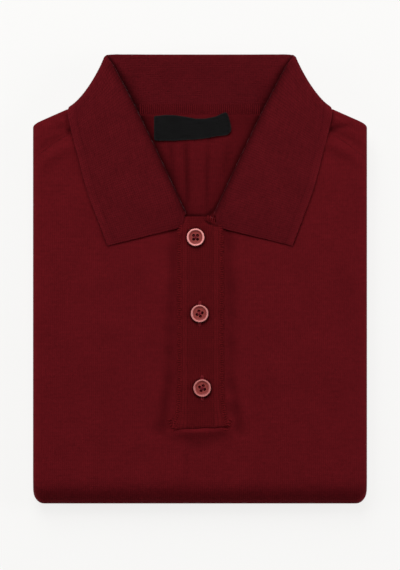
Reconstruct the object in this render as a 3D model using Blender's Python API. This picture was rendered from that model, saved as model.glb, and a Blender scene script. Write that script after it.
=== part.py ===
"""Fine knit polo sweater, folded for the shelf and lying face up.

The sides and sleeves are folded behind, then the lower half is folded up behind
them. Front and back are nested sheets that wrap round both sides and the bottom
fold. The frame has +X to the right of the face, +Y to the collar and +Z up, with
the origin under the middle of the folded garment.
"""
import math

import bmesh
import bpy
import numpy as np

# Driving sizes of the folded garment, in metres.
FOLDED_WIDTH = 0.280
FOLDED_LENGTH = 0.3766
PACK_HEIGHT = 0.022
CLOTH = 0.0015
GAP = 0.0003
LAYER_GAP = 0.0006

# The bottom fold and the side folds, each half an ellipse.
FOLD_REACH = 0.020
SIDE_REACH = 0.009
HALF_WIDTH = FOLDED_WIDTH / 2
HALF_HEIGHT = PACK_HEIGHT / 2
SIDE_RADIUS = (HALF_HEIGHT - GAP) / 2
FLAT_HALF = HALF_WIDTH - SIDE_REACH
FOLD_Y = FOLD_REACH - FOLDED_LENGTH / 2
BACK_DEPTH = CLOTH + LAYER_GAP

# Hems of the lower half, which end under the shoulders.
FRONT_HEM_Y = 0.118
BACK_HEM_Y = 0.1162

# Neck and shoulder lines of the front, the same on both sides.
PLACKET_SLOT_HALF = 0.013
PLACKET_SLOT_END = -0.118
NECK_LOW_Y = 0.048
NECK_SLOPE = 0.98
NECK_HOOK = 0.0085
SHOULDER_X = 0.088
SHOULDER_SEAM_Y = 0.131
SHOULDER_SEAM_SLOPE = 0.62
SHOULDER_FOLD_X = 0.111
SHOULDER_FOLD_Y = 0.1425
SHOULDER_FOLD_SLOPE = 0.442
HIDDEN_FOLD_SLOPE = 0.12

# Columns of the front and back, measured over the cloth from the centre line.
FLAT_COLUMNS = (0.0, PLACKET_SLOT_HALF, 0.022, 0.034, 0.048, 0.062, 0.076,
                SHOULDER_X, 0.100, 0.115, FLAT_HALF)
SIDE_STEPS = 6

# The collar is one knitted strip: stand, roll and leaf.
COLLAR_CLOTH = 0.0018
ROLL_RADIUS = 0.0014
COLLAR_STEPS = 3
LEAF_STEPS = 7
ROLL_STEPS = 4
STAND_STEPS = 6

# Stations of the right half of the collar, from its front end to the centre
# back. Each has the edge of the roll, the free edge of the leaf and the neck
# seam, and the turn of the leaf: 90 over the stand, 0 beside it, -90 under it.
# Columns: roll x, y, z; leaf x, y, z; seam x, y, z; turn in degrees; bow.
COLLAR_STATIONS = (
    (0.0088, 0.0515, 0.0236, 0.0780, 0.0295, 0.0237, 0.0125, 0.0492, 0.0213, 90, 0.0),
    (0.0165, 0.0670, 0.0242, 0.0843, 0.0455, 0.0235, 0.0270, 0.0633, 0.0213, 90, 0.0),
    (0.0334, 0.1020, 0.0246, 0.0950, 0.0755, 0.0234, 0.0550, 0.0911, 0.0213, 90, 0.0),
    (0.0500, 0.1365, 0.0246, 0.1030, 0.1060, 0.0234, 0.0760, 0.1143, 0.0213, 90, 0.0),
    (0.0640, 0.1635, 0.0244, 0.1080, 0.1250, 0.0234, 0.0860, 0.1292, 0.0213, 88, 0.001),
    (0.0728, 0.1797, 0.0240, 0.1103, 0.1360, 0.0239, 0.0868, 0.1340, 0.0212, 70, 0.0045),
    (0.0766, 0.1852, 0.0235, 0.1104, 0.1415, 0.0232, 0.0868, 0.1368, 0.0208, 35, 0.0070),
    (0.0773, 0.1870, 0.0230, 0.1082, 0.1440, 0.0204, 0.0862, 0.1390, 0.0202, 0, 0.0070),
    (0.0745, 0.1880, 0.0222, 0.1040, 0.1444, 0.0168, 0.0815, 0.1392, 0.0194, -60, 0.0045),
    (0.0600, 0.1883, 0.0214, 0.0840, 0.1460, 0.0143, 0.0650, 0.1386, 0.01915, -85, 0.0),
    (0.0350, 0.1882, 0.0211, 0.0450, 0.1470, 0.0132, 0.0370, 0.1384, 0.01915, -90, 0.0),
    (0.0000, 0.1881, 0.0211, 0.0000, 0.1475, 0.0129, 0.0000, 0.1383, 0.01915, -90, 0.0),
)

# The upper placket band, with a thin linked strip down each side.
# Columns: y, left strip x, left band x, right band x, right strip x.
PLACKET_ROWS = (
    (0.0512, -0.0074, -0.0066, 0.0058, 0.0066),
    (0.0476, -0.0084, -0.0078, 0.0070, 0.0076),
    (0.0462, -0.0180, -0.0102, 0.0108, 0.0186),
    (0.0400, -0.0189, -0.0105, 0.0112, 0.0194),
    (0.0000, -0.0189, -0.0105, 0.0113, 0.0196),
    (-0.0450, -0.0188, -0.0104, 0.0113, 0.0196),
    (-0.0900, -0.0188, -0.0103, 0.0113, 0.0197),
    (-0.1030, -0.0194, -0.0103, 0.0113, 0.0206),
    (-0.1140, -0.0212, -0.0103, 0.0113, 0.0228),
    (-0.1220, -0.0238, -0.0104, 0.0114, 0.0252),
    (-0.1246, -0.0232, -0.0104, 0.0114, 0.0246),
)
BAND_CLOTH = 0.0015
STRIP_CLOTH = 0.0010
UNDER_BAND_HALF = 0.0110
UNDER_BAND_TOP_HALF = 0.0070
UNDER_BAND_Y = (-0.1176, 0.0440, 0.0470, 0.0524)

# Four-hole buttons. Columns: name, x, y, turn of the holes in degrees.
BUTTONS = (
    ("button_top", -0.0037, 0.0351, 0.0),
    ("button_middle", -0.0003, -0.0287, -28.0),
    ("button_bottom", 0.0018, -0.0910, 22.0),
)
BUTTON_RADIUS = 0.0077
BUTTON_SIDES = 40
BUTTON_HOLE_OFFSET = 0.0021
BUTTON_HOLE_RADIUS = 0.00085
BUTTON_HOLE_SIDES = 12
# Turned profile of a button. Columns: radius, height.
BUTTON_PROFILE = (
    (0.0, 0.0), (0.0052, 0.0), (0.0068, 0.0005), (0.0076, 0.0012), (0.0077, 0.0017),
    (0.0073, 0.0023), (0.0068, 0.0024), (0.0063, 0.0022), (0.0058, 0.0016),
    (0.0052, 0.0014), (0.0, 0.0014),
)

# The woven label at the back neck. Columns: x, upper edge y, lower edge y.
LABEL_ROWS = (
    (-0.0379, 0.1374, 0.1166), (-0.0300, 0.1366, 0.1164), (-0.0180, 0.1352, 0.1164),
    (-0.0060, 0.1342, 0.1166), (0.0040, 0.1346, 0.1174), (0.0130, 0.1368, 0.1192),
    (0.0200, 0.1390, 0.1210), (0.0251, 0.1402, 0.1222),
)
LABEL_CLOTH = 0.0006
LABEL_LIFT = 0.0007

# The hidden side strips and sleeves, as one stack of soft layers.
CORE_HALF = FLAT_HALF - 0.0005
CORE_DEPTH = BACK_DEPTH + CLOTH + GAP
CORE_ROUND = 0.003
# Layers from the top. Columns: upper z, lower z, y of the layer's end.
CORE_LAYERS = (
    (0.0181, 0.0148, 0.1270),
    (0.0144, 0.0113, 0.1215),
    (0.0107, 0.0076, 0.1085),
    (0.0072, 0.0039, 0.1130),
)
CORE_GROOVE = 0.007
CORE_COLUMNS = (-1.0, -0.985, -0.86, -0.6, -0.3, 0.0, 0.3, 0.6, 0.86, 0.985, 1.0)


def half_ellipse_length(a, b):
    """Length of half an ellipse, near enough to place points along it."""
    return math.pi * math.sqrt((a * a + b * b) / 2)


SIDE_LENGTH = half_ellipse_length(SIDE_REACH, SIDE_RADIUS)
BEND_LENGTH = half_ellipse_length(FOLD_REACH, HALF_HEIGHT)


def clear_scene():
    for item in list(bpy.data.objects):
        bpy.data.objects.remove(item)


def material(name, colour, roughness, sheen=0.0):
    """A Principled material in one linear colour."""
    made = bpy.data.materials.new(name)
    made.use_nodes = True
    shader = made.node_tree.nodes["Principled BSDF"]
    shader.inputs["Base Color"].default_value = (*colour, 1.0)
    shader.inputs["Roughness"].default_value = roughness
    shader.inputs["Metallic"].default_value = 0.0
    shader.inputs["Sheen Weight"].default_value = sheen
    return made


def add_object(name, points, faces, cloth):
    """A closed mesh object whose faces all look outwards."""
    mesh = bpy.data.meshes.new(name)
    mesh.from_pydata([tuple(point) for point in points], [], faces)
    shell = bmesh.new()
    shell.from_mesh(mesh)
    bmesh.ops.recalc_face_normals(shell, faces=shell.faces)
    shell.to_mesh(mesh)
    shell.free()
    mesh.shade_smooth()
    mesh.set_sharp_from_angle(angle=math.radians(40))
    mesh.materials.append(cloth)
    made = bpy.data.objects.new(name, mesh)
    bpy.context.scene.collection.objects.link(made)
    return made


def add_wall(name, outer, inner, cloth, keep=None):
    """Close two matching grids into one wall; keep leaves quads out of it."""
    rows, columns = outer.shape[:2]
    if keep is None:
        keep = np.ones((rows - 1, columns - 1), dtype=bool)
    points = []
    number = {}

    def vertex(side, i, j):
        if (side, i, j) not in number:
            number[side, i, j] = len(points)
            points.append(side_grid[side][i, j])
        return number[side, i, j]

    side_grid = (outer, inner)
    faces = []
    border = {}
    for i in range(rows - 1):
        for j in range(columns - 1):
            if not keep[i, j]:
                continue
            loop = ((i, j), (i, j + 1), (i + 1, j + 1), (i + 1, j))
            faces.append([vertex(0, *corner) for corner in loop])
            faces.append([vertex(1, *corner) for corner in reversed(loop)])
            for start, end in zip(loop, loop[1:] + loop[:1]):
                if (end, start) in border:
                    del border[end, start]
                else:
                    border[start, end] = True
    for start, end in border:
        faces.append([vertex(0, *end), vertex(0, *start), vertex(1, *start), vertex(1, *end)])
    return add_object(name, points, faces, cloth)


def add_loft(name, rings, cloth):
    """A solid through closed rings, capped at both ends."""
    count = len(rings[0])
    points = [point for ring in rings for point in ring]
    faces = [list(reversed(range(count)))]
    for first in range(0, count * (len(rings) - 1), count):
        for k in range(count):
            after = (k + 1) % count
            faces.append([first + k, first + after, first + count + after, first + count + k])
    faces.append([count * (len(rings) - 1) + k for k in range(count)])
    return add_object(name, points, faces, cloth)


def smooth_rows(table, steps):
    """Rows of a table with smooth rows put in between (Catmull-Rom)."""
    rows = [np.array(row, dtype=float) for row in table]
    rows = [2 * rows[0] - rows[1]] + rows + [2 * rows[-1] - rows[-2]]
    made = []
    for before, here, after, later in zip(rows, rows[1:], rows[2:], rows[3:]):
        for step in range(steps):
            t = step / steps
            made.append(0.5 * (2 * here + (after - before) * t
                               + (2 * before - 5 * here + 4 * after - later) * t ** 2
                               + (3 * here - before - 3 * after + later) * t ** 3))
    made.append(rows[-2])
    return made


def across(s, depth):
    """Width x and depth t below the face, s along the cloth from the centre."""
    if abs(s) <= FLAT_HALF:
        return s, depth
    angle = math.pi * (abs(s) - FLAT_HALF) / SIDE_LENGTH
    x = FLAT_HALF + (SIDE_REACH - depth) * math.sin(angle)
    return math.copysign(x, s), SIDE_RADIUS - (SIDE_RADIUS - depth) * math.cos(angle)


def pack_point(s, run, depth):
    """Point of the folded cloth; run starts where the face meets the bottom fold."""
    x, t = across(s, depth)
    if run >= 0:
        return np.array((x, FOLD_Y + run, PACK_HEIGHT - t))
    if run > -BEND_LENGTH:
        angle = -run / BEND_LENGTH * math.pi
        y = FOLD_Y - FOLD_REACH * (1 - t / HALF_HEIGHT) * math.sin(angle)
        return np.array((x, y, HALF_HEIGHT + (HALF_HEIGHT - t) * math.cos(angle)))
    return np.array((x, FOLD_Y - run - BEND_LENGTH, t))


def cloth_columns():
    """Places of the columns across a folded sheet, left to right."""
    side = [FLAT_HALF + SIDE_LENGTH * (k + 1) / SIDE_STEPS for k in range(SIDE_STEPS)]
    right = list(FLAT_COLUMNS) + side
    return [-s for s in reversed(right[1:])] + right


def neck_line(s):
    """Height y of the front's neck edge and, past it, of the shoulder seam."""
    s = abs(s)
    if s <= PLACKET_SLOT_HALF:
        return NECK_LOW_Y
    if s <= SHOULDER_X:
        reach = (s - PLACKET_SLOT_HALF) / (SHOULDER_X - PLACKET_SLOT_HALF)
        return NECK_LOW_Y + NECK_SLOPE * (s - PLACKET_SLOT_HALF) + NECK_HOOK * reach ** 6
    return SHOULDER_SEAM_Y - SHOULDER_SEAM_SLOPE * (s - SHOULDER_X)


def shoulder_fold(s):
    """Height y of the fold along the top of the shoulder."""
    s = abs(s)
    if s >= SHOULDER_FOLD_X:
        return SHOULDER_FOLD_Y - SHOULDER_FOLD_SLOPE * (s - SHOULDER_FOLD_X)
    return SHOULDER_FOLD_Y - HIDDEN_FOLD_SLOPE * (SHOULDER_FOLD_X - s)


def lower_run(hem_y, fraction):
    """Run of a point on the lower half, from the hem to the bottom fold."""
    return -BEND_LENGTH - (hem_y - FOLD_Y) * (1 - fraction)


def make_front(cloth):
    """The front: face, side folds, bottom fold and the lower half to its hem."""
    slot = (PLACKET_SLOT_END - FOLD_Y) / (NECK_LOW_Y - FOLD_Y)
    lower = (0.0, 0.5)
    bend = np.linspace(-BEND_LENGTH, 0, 11)[:-1]
    upper = [0.0, slot, 0.36, 0.48, 0.60, 0.71, 0.81, 0.90, 1.0]
    columns = cloth_columns()
    grids = []
    for depth in (0.0, CLOTH):
        rows = [[pack_point(s, lower_run(FRONT_HEM_Y, f), depth) for s in columns] for f in lower]
        rows += [[pack_point(s, run, depth) for s in columns] for run in bend]
        rows += [[pack_point(s, f * (neck_line(s) - FOLD_Y), depth) for s in columns] for f in upper]
        grids.append(np.array(rows))
    keep = np.ones((grids[0].shape[0] - 1, len(columns) - 1), dtype=bool)
    slot_row = len(lower) + len(bend) + upper.index(slot)
    for j, (left, right) in enumerate(zip(columns, columns[1:])):
        if max(abs(left), abs(right)) <= PLACKET_SLOT_HALF:
            keep[slot_row:, j] = False
    return add_wall("front", grids[0], grids[1], cloth, keep)


def make_back(cloth):
    """The back: shoulder strips, the fold over the shoulder, inside and hem."""
    columns = cloth_columns()
    fold = BACK_DEPTH + CLOTH
    seam = [neck_line(max(abs(s), SHOULDER_X)) + 2 * GAP for s in columns]
    turn = [shoulder_fold(max(abs(s), SHOULDER_X)) - fold / 2 for s in columns]
    strip = (0.0, 0.4, 0.75)
    half_turn = np.linspace(0, math.pi, 5)
    inside = (0.15, 0.4, 0.7)
    bend = np.linspace(0, -BEND_LENGTH, 9)
    lower = (0.5, 0.0)
    grids = []
    for near, far in ((0.0, fold), (CLOTH, BACK_DEPTH)):
        radius = (far - near) / 2
        rows = []
        for f in strip:
            rows.append([pack_point(s, a + f * (b - a) - FOLD_Y, near)
                         for s, a, b in zip(columns, seam, turn)])
        for angle in half_turn:
            depth = fold / 2 - radius * math.cos(angle)
            rows.append([pack_point(s, b + radius * math.sin(angle) - FOLD_Y, depth)
                         for s, b in zip(columns, turn)])
        for f in inside:
            rows.append([pack_point(s, (1 - f) * (b - FOLD_Y), far)
                         for s, b in zip(columns, turn)])
        rows += [[pack_point(s, run, far) for s in columns] for run in bend]
        rows += [[pack_point(s, lower_run(BACK_HEM_Y, f), far) for s in columns] for f in lower]
        grids.append(np.array(rows))
    keep = np.ones((grids[0].shape[0] - 1, len(columns) - 1), dtype=bool)
    neck_rows = len(strip) + len(half_turn) - 1
    for j, (left, right) in enumerate(zip(columns, columns[1:])):
        if max(abs(left), abs(right)) <= SHOULDER_X:
            keep[:neck_rows, j] = False
    return add_wall("back", grids[0], grids[1], cloth, keep)


def core_profile(shrink):
    """Side outline of the hidden stack, with each layer's rounded end."""
    points = []
    for top, bottom, end in CORE_LAYERS:
        top_z = top - shrink if top == CORE_LAYERS[0][0] else top
        bottom_z = bottom + shrink if bottom == CORE_LAYERS[-1][1] else bottom
        middle = (top_z + bottom_z) / 2
        radius = (top_z - bottom_z) / 2
        points.append((end - shrink - CORE_GROOVE, top_z))
        for angle in np.linspace(80, -80, 5):
            points.append((end - shrink - radius + radius * math.cos(math.radians(angle)),
                           middle + radius * math.sin(math.radians(angle))))
        points.append((end - shrink - CORE_GROOVE, bottom_z))
    scale = (HALF_HEIGHT - CORE_DEPTH - shrink) / HALF_HEIGHT
    for angle in np.linspace(180, 0, 9):
        points.append((FOLD_Y - FOLD_REACH * scale * math.sin(math.radians(angle)),
                       HALF_HEIGHT + HALF_HEIGHT * scale * math.cos(math.radians(angle))))
    return points


def make_core(cloth):
    """The hidden sides, sleeves and lower layers, as one rounded stack."""
    rings = []
    for place in CORE_COLUMNS:
        shrink = CORE_ROUND * max(0.0, (abs(place) - 0.86) / 0.14) ** 3 * 0.5
        rings.append([(place * CORE_HALF, y, z) for y, z in core_profile(shrink)])
    return add_loft("folded_layers", rings, cloth)


def bezier(start, first, second, end, steps):
    """Points of a cubic curve, both ends included."""
    made = []
    for t in np.linspace(0, 1, steps + 1):
        made.append((1 - t) ** 3 * start + 3 * t * (1 - t) ** 2 * first
                    + 3 * t ** 2 * (1 - t) * second + t ** 3 * end)
    return made


def unit(vector):
    return vector / np.linalg.norm(vector)


def collar_section(station):
    """Middle line of the collar's cloth: leaf edge, roll, neck seam."""
    roll, leaf, seam = station[0:3], station[3:6], station[6:9]
    turn = math.radians(station[9])
    bow = station[10]
    inwards = unit(leaf - roll) + unit(seam - roll)
    inwards[2] = 0
    inwards = unit(inwards)
    outwards = np.array((-inwards[1], inwards[0], 0.0))
    to_leaf = math.cos(turn) * outwards + math.sin(turn) * np.array((0.0, 0.0, 1.0))
    centre = roll + inwards * (ROLL_RADIUS + COLLAR_CLOTH / 2)
    leaf_start = centre + ROLL_RADIUS * to_leaf
    stand_start = centre - ROLL_RADIUS * to_leaf
    reach = np.linalg.norm(leaf - leaf_start)
    drop = np.linalg.norm(seam - stand_start)
    leaf_line = bezier(leaf, leaf + (leaf_start - leaf) * 0.33 - bow * outwards,
                       leaf_start + inwards * reach * 0.04, leaf_start, LEAF_STEPS)
    stand_line = bezier(stand_start, stand_start + inwards * drop * 0.25,
                        seam + (stand_start - seam) * 0.33, seam, STAND_STEPS)
    arc = []
    for angle in np.linspace(0, math.pi, ROLL_STEPS + 1)[1:-1]:
        arc.append(centre + ROLL_RADIUS * (math.cos(angle) * to_leaf - math.sin(angle) * inwards))
    return leaf_line + arc + stand_line


def thickened(middle, thickness):
    """The two faces of a cloth whose middle surface is a grid of points."""
    along = unit_grid(np.gradient(middle, axis=0))
    over = unit_grid(np.gradient(middle, axis=1))
    normal = unit_grid(np.cross(along, over))
    return middle + normal * thickness / 2, middle - normal * thickness / 2


def unit_grid(grid):
    return grid / np.linalg.norm(grid, axis=2, keepdims=True)


def make_collar(cloth):
    """The collar, turned down at the front and folded behind at the back."""
    right = [collar_section(row) for row in smooth_rows(COLLAR_STATIONS, COLLAR_STEPS)]
    left = [[point * (-1, 1, 1) for point in section] for section in right[:-1]]
    middle = np.array(left + right[::-1])
    outer, inner = thickened(middle, COLLAR_CLOTH)
    return add_wall("collar", outer, inner, cloth)


def make_placket(cloth):
    """The upper placket band with its two linked strips, laid on the front."""
    base = PACK_HEIGHT + GAP
    outer = []
    inner = []
    for y, left, band_left, band_right, right in PLACKET_ROWS:
        places = (left, band_left - 0.0002, band_left, 0.0, band_right, band_right + 0.0002, right)
        heights = (STRIP_CLOTH, STRIP_CLOTH, BAND_CLOTH, BAND_CLOTH, BAND_CLOTH,
                   STRIP_CLOTH, STRIP_CLOTH)
        outer.append([(x, y, base + height) for x, height in zip(places, heights)])
        inner.append([(x, y, base) for x in places])
    return add_wall("placket", np.array(outer), np.array(inner), cloth)


def make_under_placket(cloth):
    """The under band, in the slit of the front below the upper band."""
    halves = (UNDER_BAND_HALF, UNDER_BAND_HALF, UNDER_BAND_TOP_HALF, UNDER_BAND_TOP_HALF)
    outer = []
    inner = []
    for y, half in zip(UNDER_BAND_Y, halves):
        outer.append([(x, y, PACK_HEIGHT) for x in (-half, 0.0, half)])
        inner.append([(x, y, PACK_HEIGHT - CLOTH) for x in (-half, 0.0, half)])
    return add_wall("placket_under", np.array(outer), np.array(inner), cloth)


def make_button(name, x, y, turn, plastic):
    """A turned button with four holes, on the upper placket band."""
    rings = BUTTON_PROFILE[1:-1]
    points = [(0.0, 0.0, BUTTON_PROFILE[0][1])]
    for radius, height in rings:
        for k in range(BUTTON_SIDES):
            angle = 2 * math.pi * k / BUTTON_SIDES
            points.append((radius * math.cos(angle), radius * math.sin(angle), height))
    points.append((0.0, 0.0, BUTTON_PROFILE[-1][1]))
    faces = []
    for k in range(BUTTON_SIDES):
        after = (k + 1) % BUTTON_SIDES
        faces.append([0, 1 + after, 1 + k])
        for ring in range(len(rings) - 1):
            low = 1 + ring * BUTTON_SIDES
            high = low + BUTTON_SIDES
            faces.append([low + k, low + after, high + after, high + k])
        top = 1 + (len(rings) - 1) * BUTTON_SIDES
        faces.append([top + k, top + after, len(points) - 1])
    button = add_object(name, points, faces, plastic)
    button.location = (x, y, PACK_HEIGHT + GAP + BAND_CLOTH + GAP)
    button.rotation_euler = (0, 0, math.radians(turn))
    for k in range(4):
        angle = math.pi / 4 + k * math.pi / 2
        bpy.ops.mesh.primitive_cylinder_add(
            vertices=BUTTON_HOLE_SIDES, radius=BUTTON_HOLE_RADIUS, depth=0.01,
            location=(BUTTON_HOLE_OFFSET * math.cos(angle), BUTTON_HOLE_OFFSET * math.sin(angle), 0))
        drill = bpy.context.object
        drill.name = f"drill_{name}_{k}"
        drill.parent = button
        drill.hide_render = True
        drill.display_type = "WIRE"
        cut = button.modifiers.new(f"hole_{k}", "BOOLEAN")
        cut.operation = "DIFFERENCE"
        cut.object = drill
    return button


def make_label(cloth):
    """The woven label, bare, on the inside of the back."""
    base = PACK_HEIGHT - BACK_DEPTH + LABEL_LIFT
    outer = []
    inner = []
    for x, upper, lower in LABEL_ROWS:
        wave = 0.0003 * math.sin((x - LABEL_ROWS[0][0]) * 150)
        places = [(x, lower + f * (upper - lower)) for f in (0.0, 0.5, 1.0)]
        outer.append([(px, py, base + wave + LABEL_CLOTH) for px, py in places])
        inner.append([(px, py, base + wave) for px, py in places])
    return add_wall("label", np.array(outer), np.array(inner), cloth)


def main():
    clear_scene()
    knit = material("knit_body", (0.094, 0.0056, 0.008), 0.85, 0.3)
    inside_knit = material("knit_back", (0.080, 0.005, 0.0075), 0.85, 0.3)
    collar_rib = material("rib_collar", (0.084, 0.005, 0.0075), 0.85, 0.3)
    placket_rib = material("rib_placket", (0.082, 0.005, 0.0075), 0.85, 0.3)
    under_rib = material("rib_placket_under", (0.070, 0.0045, 0.0065), 0.85, 0.3)
    layers = material("knit_folded", (0.078, 0.005, 0.007), 0.85, 0.3)
    satin = material("label_satin", (0.0065, 0.0062, 0.0067), 0.45)
    plastic = material("button_plastic", (0.36, 0.085, 0.08), 0.3)
    make_front(knit)
    make_back(inside_knit)
    make_core(layers)
    make_collar(collar_rib)
    make_placket(placket_rib)
    make_under_placket(under_rib)
    for name, x, y, turn in BUTTONS:
        make_button(name, x, y, turn, plastic)
    make_label(satin)


main()
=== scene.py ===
"""Looks of a fine knit polo sweater, folded for the shelf and lying face up.

Each section below is one piece of the garment, in the order in which it is made
up and folded: back, hidden layers, front, placket, collar, label, buttons and
stitches. The table, the lamps and the camera come last.
"""
import math

import bmesh
import bpy
import mathutils
import numpy as np
from mathutils.bvhtree import BVHTree
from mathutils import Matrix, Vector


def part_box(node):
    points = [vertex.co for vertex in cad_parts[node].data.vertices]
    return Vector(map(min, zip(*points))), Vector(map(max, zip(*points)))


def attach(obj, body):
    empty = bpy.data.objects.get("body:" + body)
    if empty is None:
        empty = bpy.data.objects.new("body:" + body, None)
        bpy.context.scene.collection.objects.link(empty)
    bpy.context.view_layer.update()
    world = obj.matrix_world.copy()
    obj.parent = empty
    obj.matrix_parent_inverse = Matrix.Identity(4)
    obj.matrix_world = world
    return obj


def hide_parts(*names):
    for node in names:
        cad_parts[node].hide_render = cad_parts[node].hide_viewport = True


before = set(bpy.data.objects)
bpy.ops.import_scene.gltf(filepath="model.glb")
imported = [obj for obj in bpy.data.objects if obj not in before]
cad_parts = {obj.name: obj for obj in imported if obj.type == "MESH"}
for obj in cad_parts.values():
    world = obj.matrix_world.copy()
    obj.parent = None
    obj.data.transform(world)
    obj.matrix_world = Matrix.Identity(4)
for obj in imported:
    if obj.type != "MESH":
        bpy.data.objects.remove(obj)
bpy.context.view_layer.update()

# ------------------------------------------------------------------ the back
# The back is one panel of plain fine knit. It lies inside the front, shows in the
# neck below the label, and comes over the shoulders to a seam on the face. The
# lower half of the garment is folded up behind, so it turns round the bottom too.

front_low, front_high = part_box("front")
half_width = front_high.x
pack_height = front_high.z
half_height = pack_height / 2
cloth = 0.0015
layer_gap = 0.0006
inside_depth = cloth + layer_gap
face_to_face = 0.0003

# The bottom fold and the side folds are half ellipses.
fold_reach = 0.023
side_reach = 0.009
flat_half = half_width - side_reach
side_radius = (half_height - face_to_face) / 2
fold_y = front_low.y + fold_reach
side_length = math.pi * math.sqrt((side_reach ** 2 + side_radius ** 2) / 2)
bend_length = math.pi * math.sqrt((fold_reach ** 2 + half_height ** 2) / 2)

# Neck and shoulder lines, the same on both sides.
slot_half = 0.013
slot_end_y = -0.118
neck_low_y = 0.048
neck_slope = 0.98
neck_hook = 0.0085
shoulder_x = 0.088
seam_y = 0.131
seam_slope = 0.62
seam_bow = 0.0042
shoulder_fold_x = 0.111
shoulder_fold_y = 0.1425
outer_fold_slope = 0.442
inner_fold_slope = 0.12
# Hems of the lower half, which end under the shoulders.
front_hem_y = 0.118
back_hem_y = 0.1162


def neck_line(s):
    """Height y of the neck edge of the front and, past it, of the shoulder seam."""
    s = np.abs(s)
    reach = np.clip((s - slot_half) / (shoulder_x - slot_half), 0, 1)
    neck = neck_low_y + neck_slope * (shoulder_x - slot_half) * reach + neck_hook * reach ** 6
    bow = seam_bow * np.sin(math.pi * np.clip((s - 0.094) / 0.048, 0, 1))
    return np.where(s <= shoulder_x, neck, seam_y - seam_slope * (s - shoulder_x) + bow)


def shoulder_fold(s):
    """Height y of the fold along the top of the shoulder."""
    past = np.abs(s) - shoulder_fold_x
    return shoulder_fold_y - np.where(past >= 0, outer_fold_slope * past, -inner_fold_slope * past)


def folded_points(s, run, depth):
    """Points of the folded cloth: s across it, run up it from the bottom fold."""
    s, run, depth = np.broadcast_arrays(s, run, depth)
    past = np.maximum(np.abs(s) - flat_half, 0)
    angle = math.pi * past / side_length
    x = np.sign(s) * (np.minimum(np.abs(s), flat_half) + (side_reach - depth) * np.sin(angle))
    below = side_radius - (side_radius - depth) * np.cos(angle)
    turn = np.clip(-run / bend_length, 0, 1) * math.pi
    y = fold_y + np.maximum(run, 0) + np.maximum(-run - bend_length, 0)
    y = y - fold_reach * (1 - below / half_height) * np.sin(turn)
    z = half_height + (half_height - below) * np.cos(turn)
    return np.stack([x, y, z], axis=-1)


def creases(x, y, table):
    """Height of soft troughs and ridges, each fading out towards both its ends."""
    height = np.zeros(np.broadcast(x, y).shape)
    for start_x, start_y, end_x, end_y, half, rise, bow in table:
        along = np.array((end_x - start_x, end_y - start_y))
        length = np.linalg.norm(along)
        t = ((x - start_x) * along[0] + (y - start_y) * along[1]) / length ** 2
        off = ((y - start_y) * along[0] - (x - start_x) * along[1]) / length
        off = off - bow * 4 * t * (1 - t)
        fade = np.sin(math.pi * np.clip(t, 0, 1)) ** 0.7
        height += rise * np.exp(-(off / half) ** 2) * fade
    return height


def dimples(x, y, table):
    """Height of round hollows and bumps."""
    height = np.zeros(np.broadcast(x, y).shape)
    for centre_x, centre_y, radius_x, radius_y, rise in table:
        away = ((x - centre_x) / radius_x) ** 2 + ((y - centre_y) / radius_y) ** 2
        height += rise * np.exp(-away)
    return height


def slow_waves(x, y, height, seed):
    """A low, uneven swell, as cloth has that was pressed and folded by hand."""
    draw = np.random.default_rng(seed)
    swell = np.zeros(np.broadcast(x, y).shape)
    for _ in range(9):
        way = draw.uniform(0, math.pi)
        wave = draw.uniform(0.035, 0.110)
        swell += np.sin(2 * math.pi * (x * math.cos(way) + y * math.sin(way)) / wave
                        + draw.uniform(0, 6.28))
    return height * swell / 3


def steps_between(*stops):
    """Places with a given spacing between neighbouring stops."""
    places = [stops[0][0]]
    for (start, spacing), (end, _) in zip(stops, stops[1:]):
        count = max(1, round(abs(end - start) / spacing))
        places += list(np.linspace(start, end, count + 1)[1:])
    return np.array(places)


def both_sides(right):
    """Places right of the centre line and their mirror images, left to right."""
    return np.concatenate([-right[:0:-1], right])


def in_scene(name, data):
    """A new object in the scene that holds a mesh, curve, lamp or camera."""
    made = bpy.data.objects.new(name, data)
    bpy.context.scene.collection.objects.link(made)
    return made


def turn_faces_out(mesh):
    """Makes all faces of a closed mesh point outwards."""
    shell = bmesh.new()
    shell.from_mesh(mesh)
    bmesh.ops.recalc_face_normals(shell, faces=shell.faces)
    shell.to_mesh(mesh)
    shell.free()


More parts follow.
